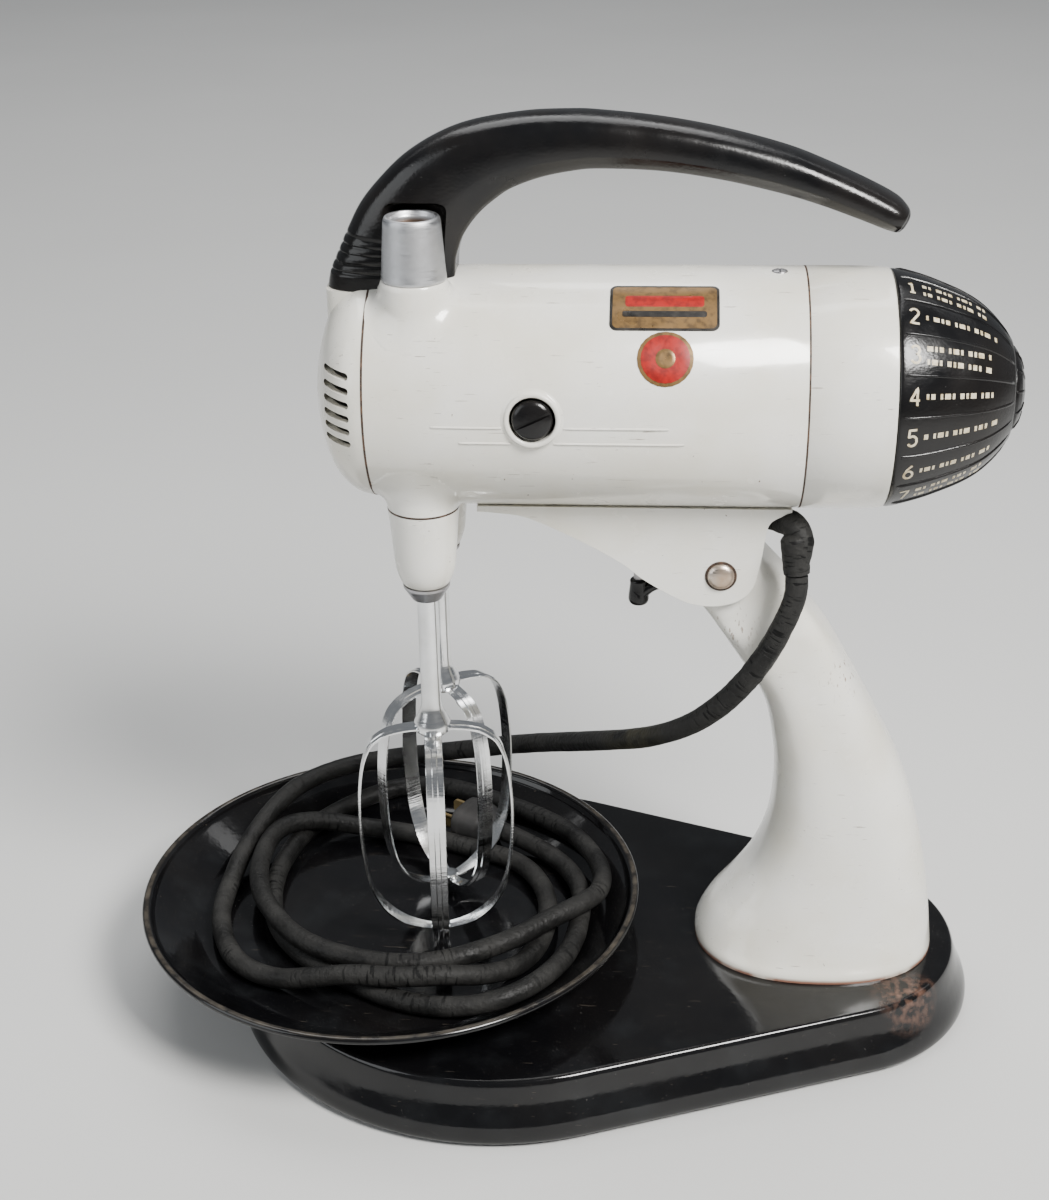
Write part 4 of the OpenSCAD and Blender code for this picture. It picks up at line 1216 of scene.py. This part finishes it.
def add_panel(number):
    """A number and its rows of plain dashes on one panel of the dial."""
    centre = 15 + 20 * (4 - number)
    strokes = [[(200.9 + 0.7 * u, 0.74 * v) for u, v in stroke] for stroke in DIGITS[number]]
    rows = (2.4, -2.4) if number in (1, 3, 7) else (0,)
    dashes = []
    for row in rows:
        start = 205.0
        k = number + (3 if row < 0 else 0)
        while start < 231 - abs(row):
            run = (0.9, 1.5, 0.9, 2.1)[k % 4]
            dashes.append([(start, row), (start + run, row)])
            start += run + (0.75, 0.75, 1.9)[k % 3]
            k += 1
    ink = [strip(stroke, centre, 0.85) for stroke in strokes] + [strip(dash, centre, 1.9) for dash in dashes]
    make(f"dial_number_{number}", merged(ink), "cream_print", "dial", crease=30)


# ---------------------------------------------------------------- emblem


def bent_patch(name, x, turn, wide, tall, corner, low, high, look, replaces=(), slot=None):
    """A thin rounded patch bent round the housing: turn is its middle's angle above the near side."""
    spots = []
    for cx, cv, start in ((1, 1, 0), (-1, 1, 90), (-1, -1, 180), (1, -1, 270)):
        for k in range(7):
            a = math.radians(start + 15 * k)
            spots.append((cx * (wide / 2 - corner) + corner * math.cos(a),
                          cv * (tall / 2 - corner) + corner * math.sin(a)))
        reach = wide / 2 - corner if start in (0, 180) else tall / 2 - corner
        for k in range(1, 14):
            along = reach * (1 - k / 7)
            if start in (0, 180):
                spots.append((cx * along, cv * tall / 2))
            else:
                spots.append((cx * wide / 2, cv * along))
    rings = []
    for shrink, lift in ((1, low), (1, high - 0.03), (0.985, high), (0.6, high), (0.25, high), (0.02, high)):
        rings.append([along_motor(BODY_R + lift, x + u * shrink, math.radians(turn) + v * shrink / BODY_R)
                      for u, v in spots])
    rings.append([along_motor(BODY_R + low, x + u * 0.02, math.radians(turn) + v * 0.02 / BODY_R)
                  for u, v in spots])
    return make(name, join_rings(rings, closed=True), look, "head", slot, replaces, crease=45)


def add_emblem():
    """The generic plate with two bars, and the round seal under it."""
    bent_patch("plate_edge", 113, 57.9, 39, 21, 2.6, 0.02, 0.24, "black_print", slot="gold_print")
    bent_patch("plate_face", 113, 57.9, 37, 19, 1.9, 0.1, 0.34, "gold_print", ["name_plate"])
    bent_patch("plate_bar_red", 113, 60.6, 28, 5.2, 1.2, 0.2, 0.4, "red_print", slot="gold_print")
    bent_patch("plate_bar_dark", 113, 53.2, 30, 2.6, 0.9, 0.2, 0.4, "black_print", slot="gold_print")
    bent_patch("seal_edge", 113.5, 31.4, 20, 20, 9.9, 0.02, 0.24, "gold_print")
    bent_patch("seal_face", 113.5, 31.4, 17.4, 17.4, 8.6, 0.1, 0.34, "red_print", ["medallion"])
    bent_patch("seal_mid", 113.5, 31.4, 7, 7, 3.4, 0.2, 0.42, "gold_print")


# ---------------------------------------------------------------- beaters

CAGE = [(6.4, 134.6), (12, 134.1), (18.5, 132.6), (23, 130), (26.4, 126.4), (29.4, 118.6), (31.2, 107),
        (31.9, 92), (31.2, 74), (28.8, 59), (24.4, 49), (18, 42), (11, 38), (2, 35.6)]


def add_beater(name, y, phase):
    """Four bent wires in a cage, with the shaft above and the foot below, in one piece."""
    line = smooth_line(CAGE, 6)
    parts = []
    section = [(-3.5, -1.1), (-3.5, -0.45), (-3.3, -0.3), (-1.2, -0.3), (-0.8, 0), (0.8, 0), (1.2, -0.3),
               (3.3, -0.3), (3.5, -0.45), (3.5, -1.1), (1, -1.2), (-1, -1.2)]
    for quarter in range(4):
        a = math.radians(phase + 90 * quarter)
        out = Vector((math.cos(a), math.sin(a), 0))
        across = Vector((-math.sin(a), math.cos(a), 0))
        hub = Vector((SPINDLE_X, y, 0))
        rings = []
        for i, (r, z) in enumerate(line):
            way = line[min(i + 1, len(line) - 1)] - line[max(i - 1, 0)]
            face = (out * -way.y + Vector((0, 0, way.x))).normalized()
            thin = 1 - 0.45 * max(0, (i - len(line) * 0.86) / (len(line) * 0.14))
            spot = hub + out * r + Vector((0, 0, z))
            rings.append([at(*(spot + across * (u * thin) + face * t)) for u, t in section])
        parts.append(join_rings(rings))
    shaft = [(0, 231.9), (3.2, 231.9), (4, 231), (4, 145.4), (4.3, 143), (4.9, 141), (7.2, 136.6),
             (7.5, 135), (7.3, 133), (5.6, 131.4), (0, 131.4)]
    foot = [(0, 38.6), (3.2, 38.6), (4, 38), (4.2, 36.2), (3.8, 35), (2.6, 33.4), (1.4, 32), (0, 31.45)]
    parts += [lathe(profile, upright(SPINDLE_X, y), 40) for profile in (shaft, foot)]
    make(name + "_wires", merged(parts), "chrome", name.replace("beater", "spindle"), replaces=[name],
         crease=32)


# ---------------------------------------------------------------- parts kept from the model

KEPT = {
    "steel": ["base_plate", "turntable_pin", "pedestal_bolt_front", "pedestal_bolt_rear", "swivel_stud",
              "stud_nut", "lever_pin", "shift_lever", "middle_plate", "rear_plate", "field_core",
              "handle_screw_front", "handle_screw_rear", "armature_shaft", "armature_core",
              "spindle_left", "spindle_right"],
    "rubber": ["foot_front_left", "foot_front_right", "foot_rear_left", "foot_rear_right"],
    "brass": ["turntable_bush", "front_bush", "brush_holder_left", "brush_holder_right", "worm", "governor",
              "worm_wheel_left", "worm_wheel_right"],
    "copper": ["coil_left", "coil_right", "commutator"],
    "carbon": ["brush_left", "brush_right"],
    "aluminium": ["fan"],
}


def dress_kept_parts():
    """Gives every part that stays its finish, and rounds the edges of the rubber feet."""
    for look, names in KEPT.items():
        for name in names:
            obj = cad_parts[name]
            obj.data.materials.clear()
            obj.data.materials.append(LOOKS[look])
            if look == "rubber":
                soften(obj, 0.6)


add_base()
add_turntable()
add_pedestal()
add_arm()
add_pivot()
add_knob()
add_nose()
add_housing()
add_bosses()
add_brush_parts()
add_lines()
add_rear_ring()
screw_head("housing_screw", 154.5, -2, 3, MOTOR_Z + BODY_R + 0.6)
add_handle()
add_drive_cap()
add_dial()
add_emblem()
add_beater("beater_left", -SPINDLE_Y, 7.5)
add_beater("beater_right", SPINDLE_Y, 37.5)
dress_kept_parts()

bpy.context.view_layer.update()
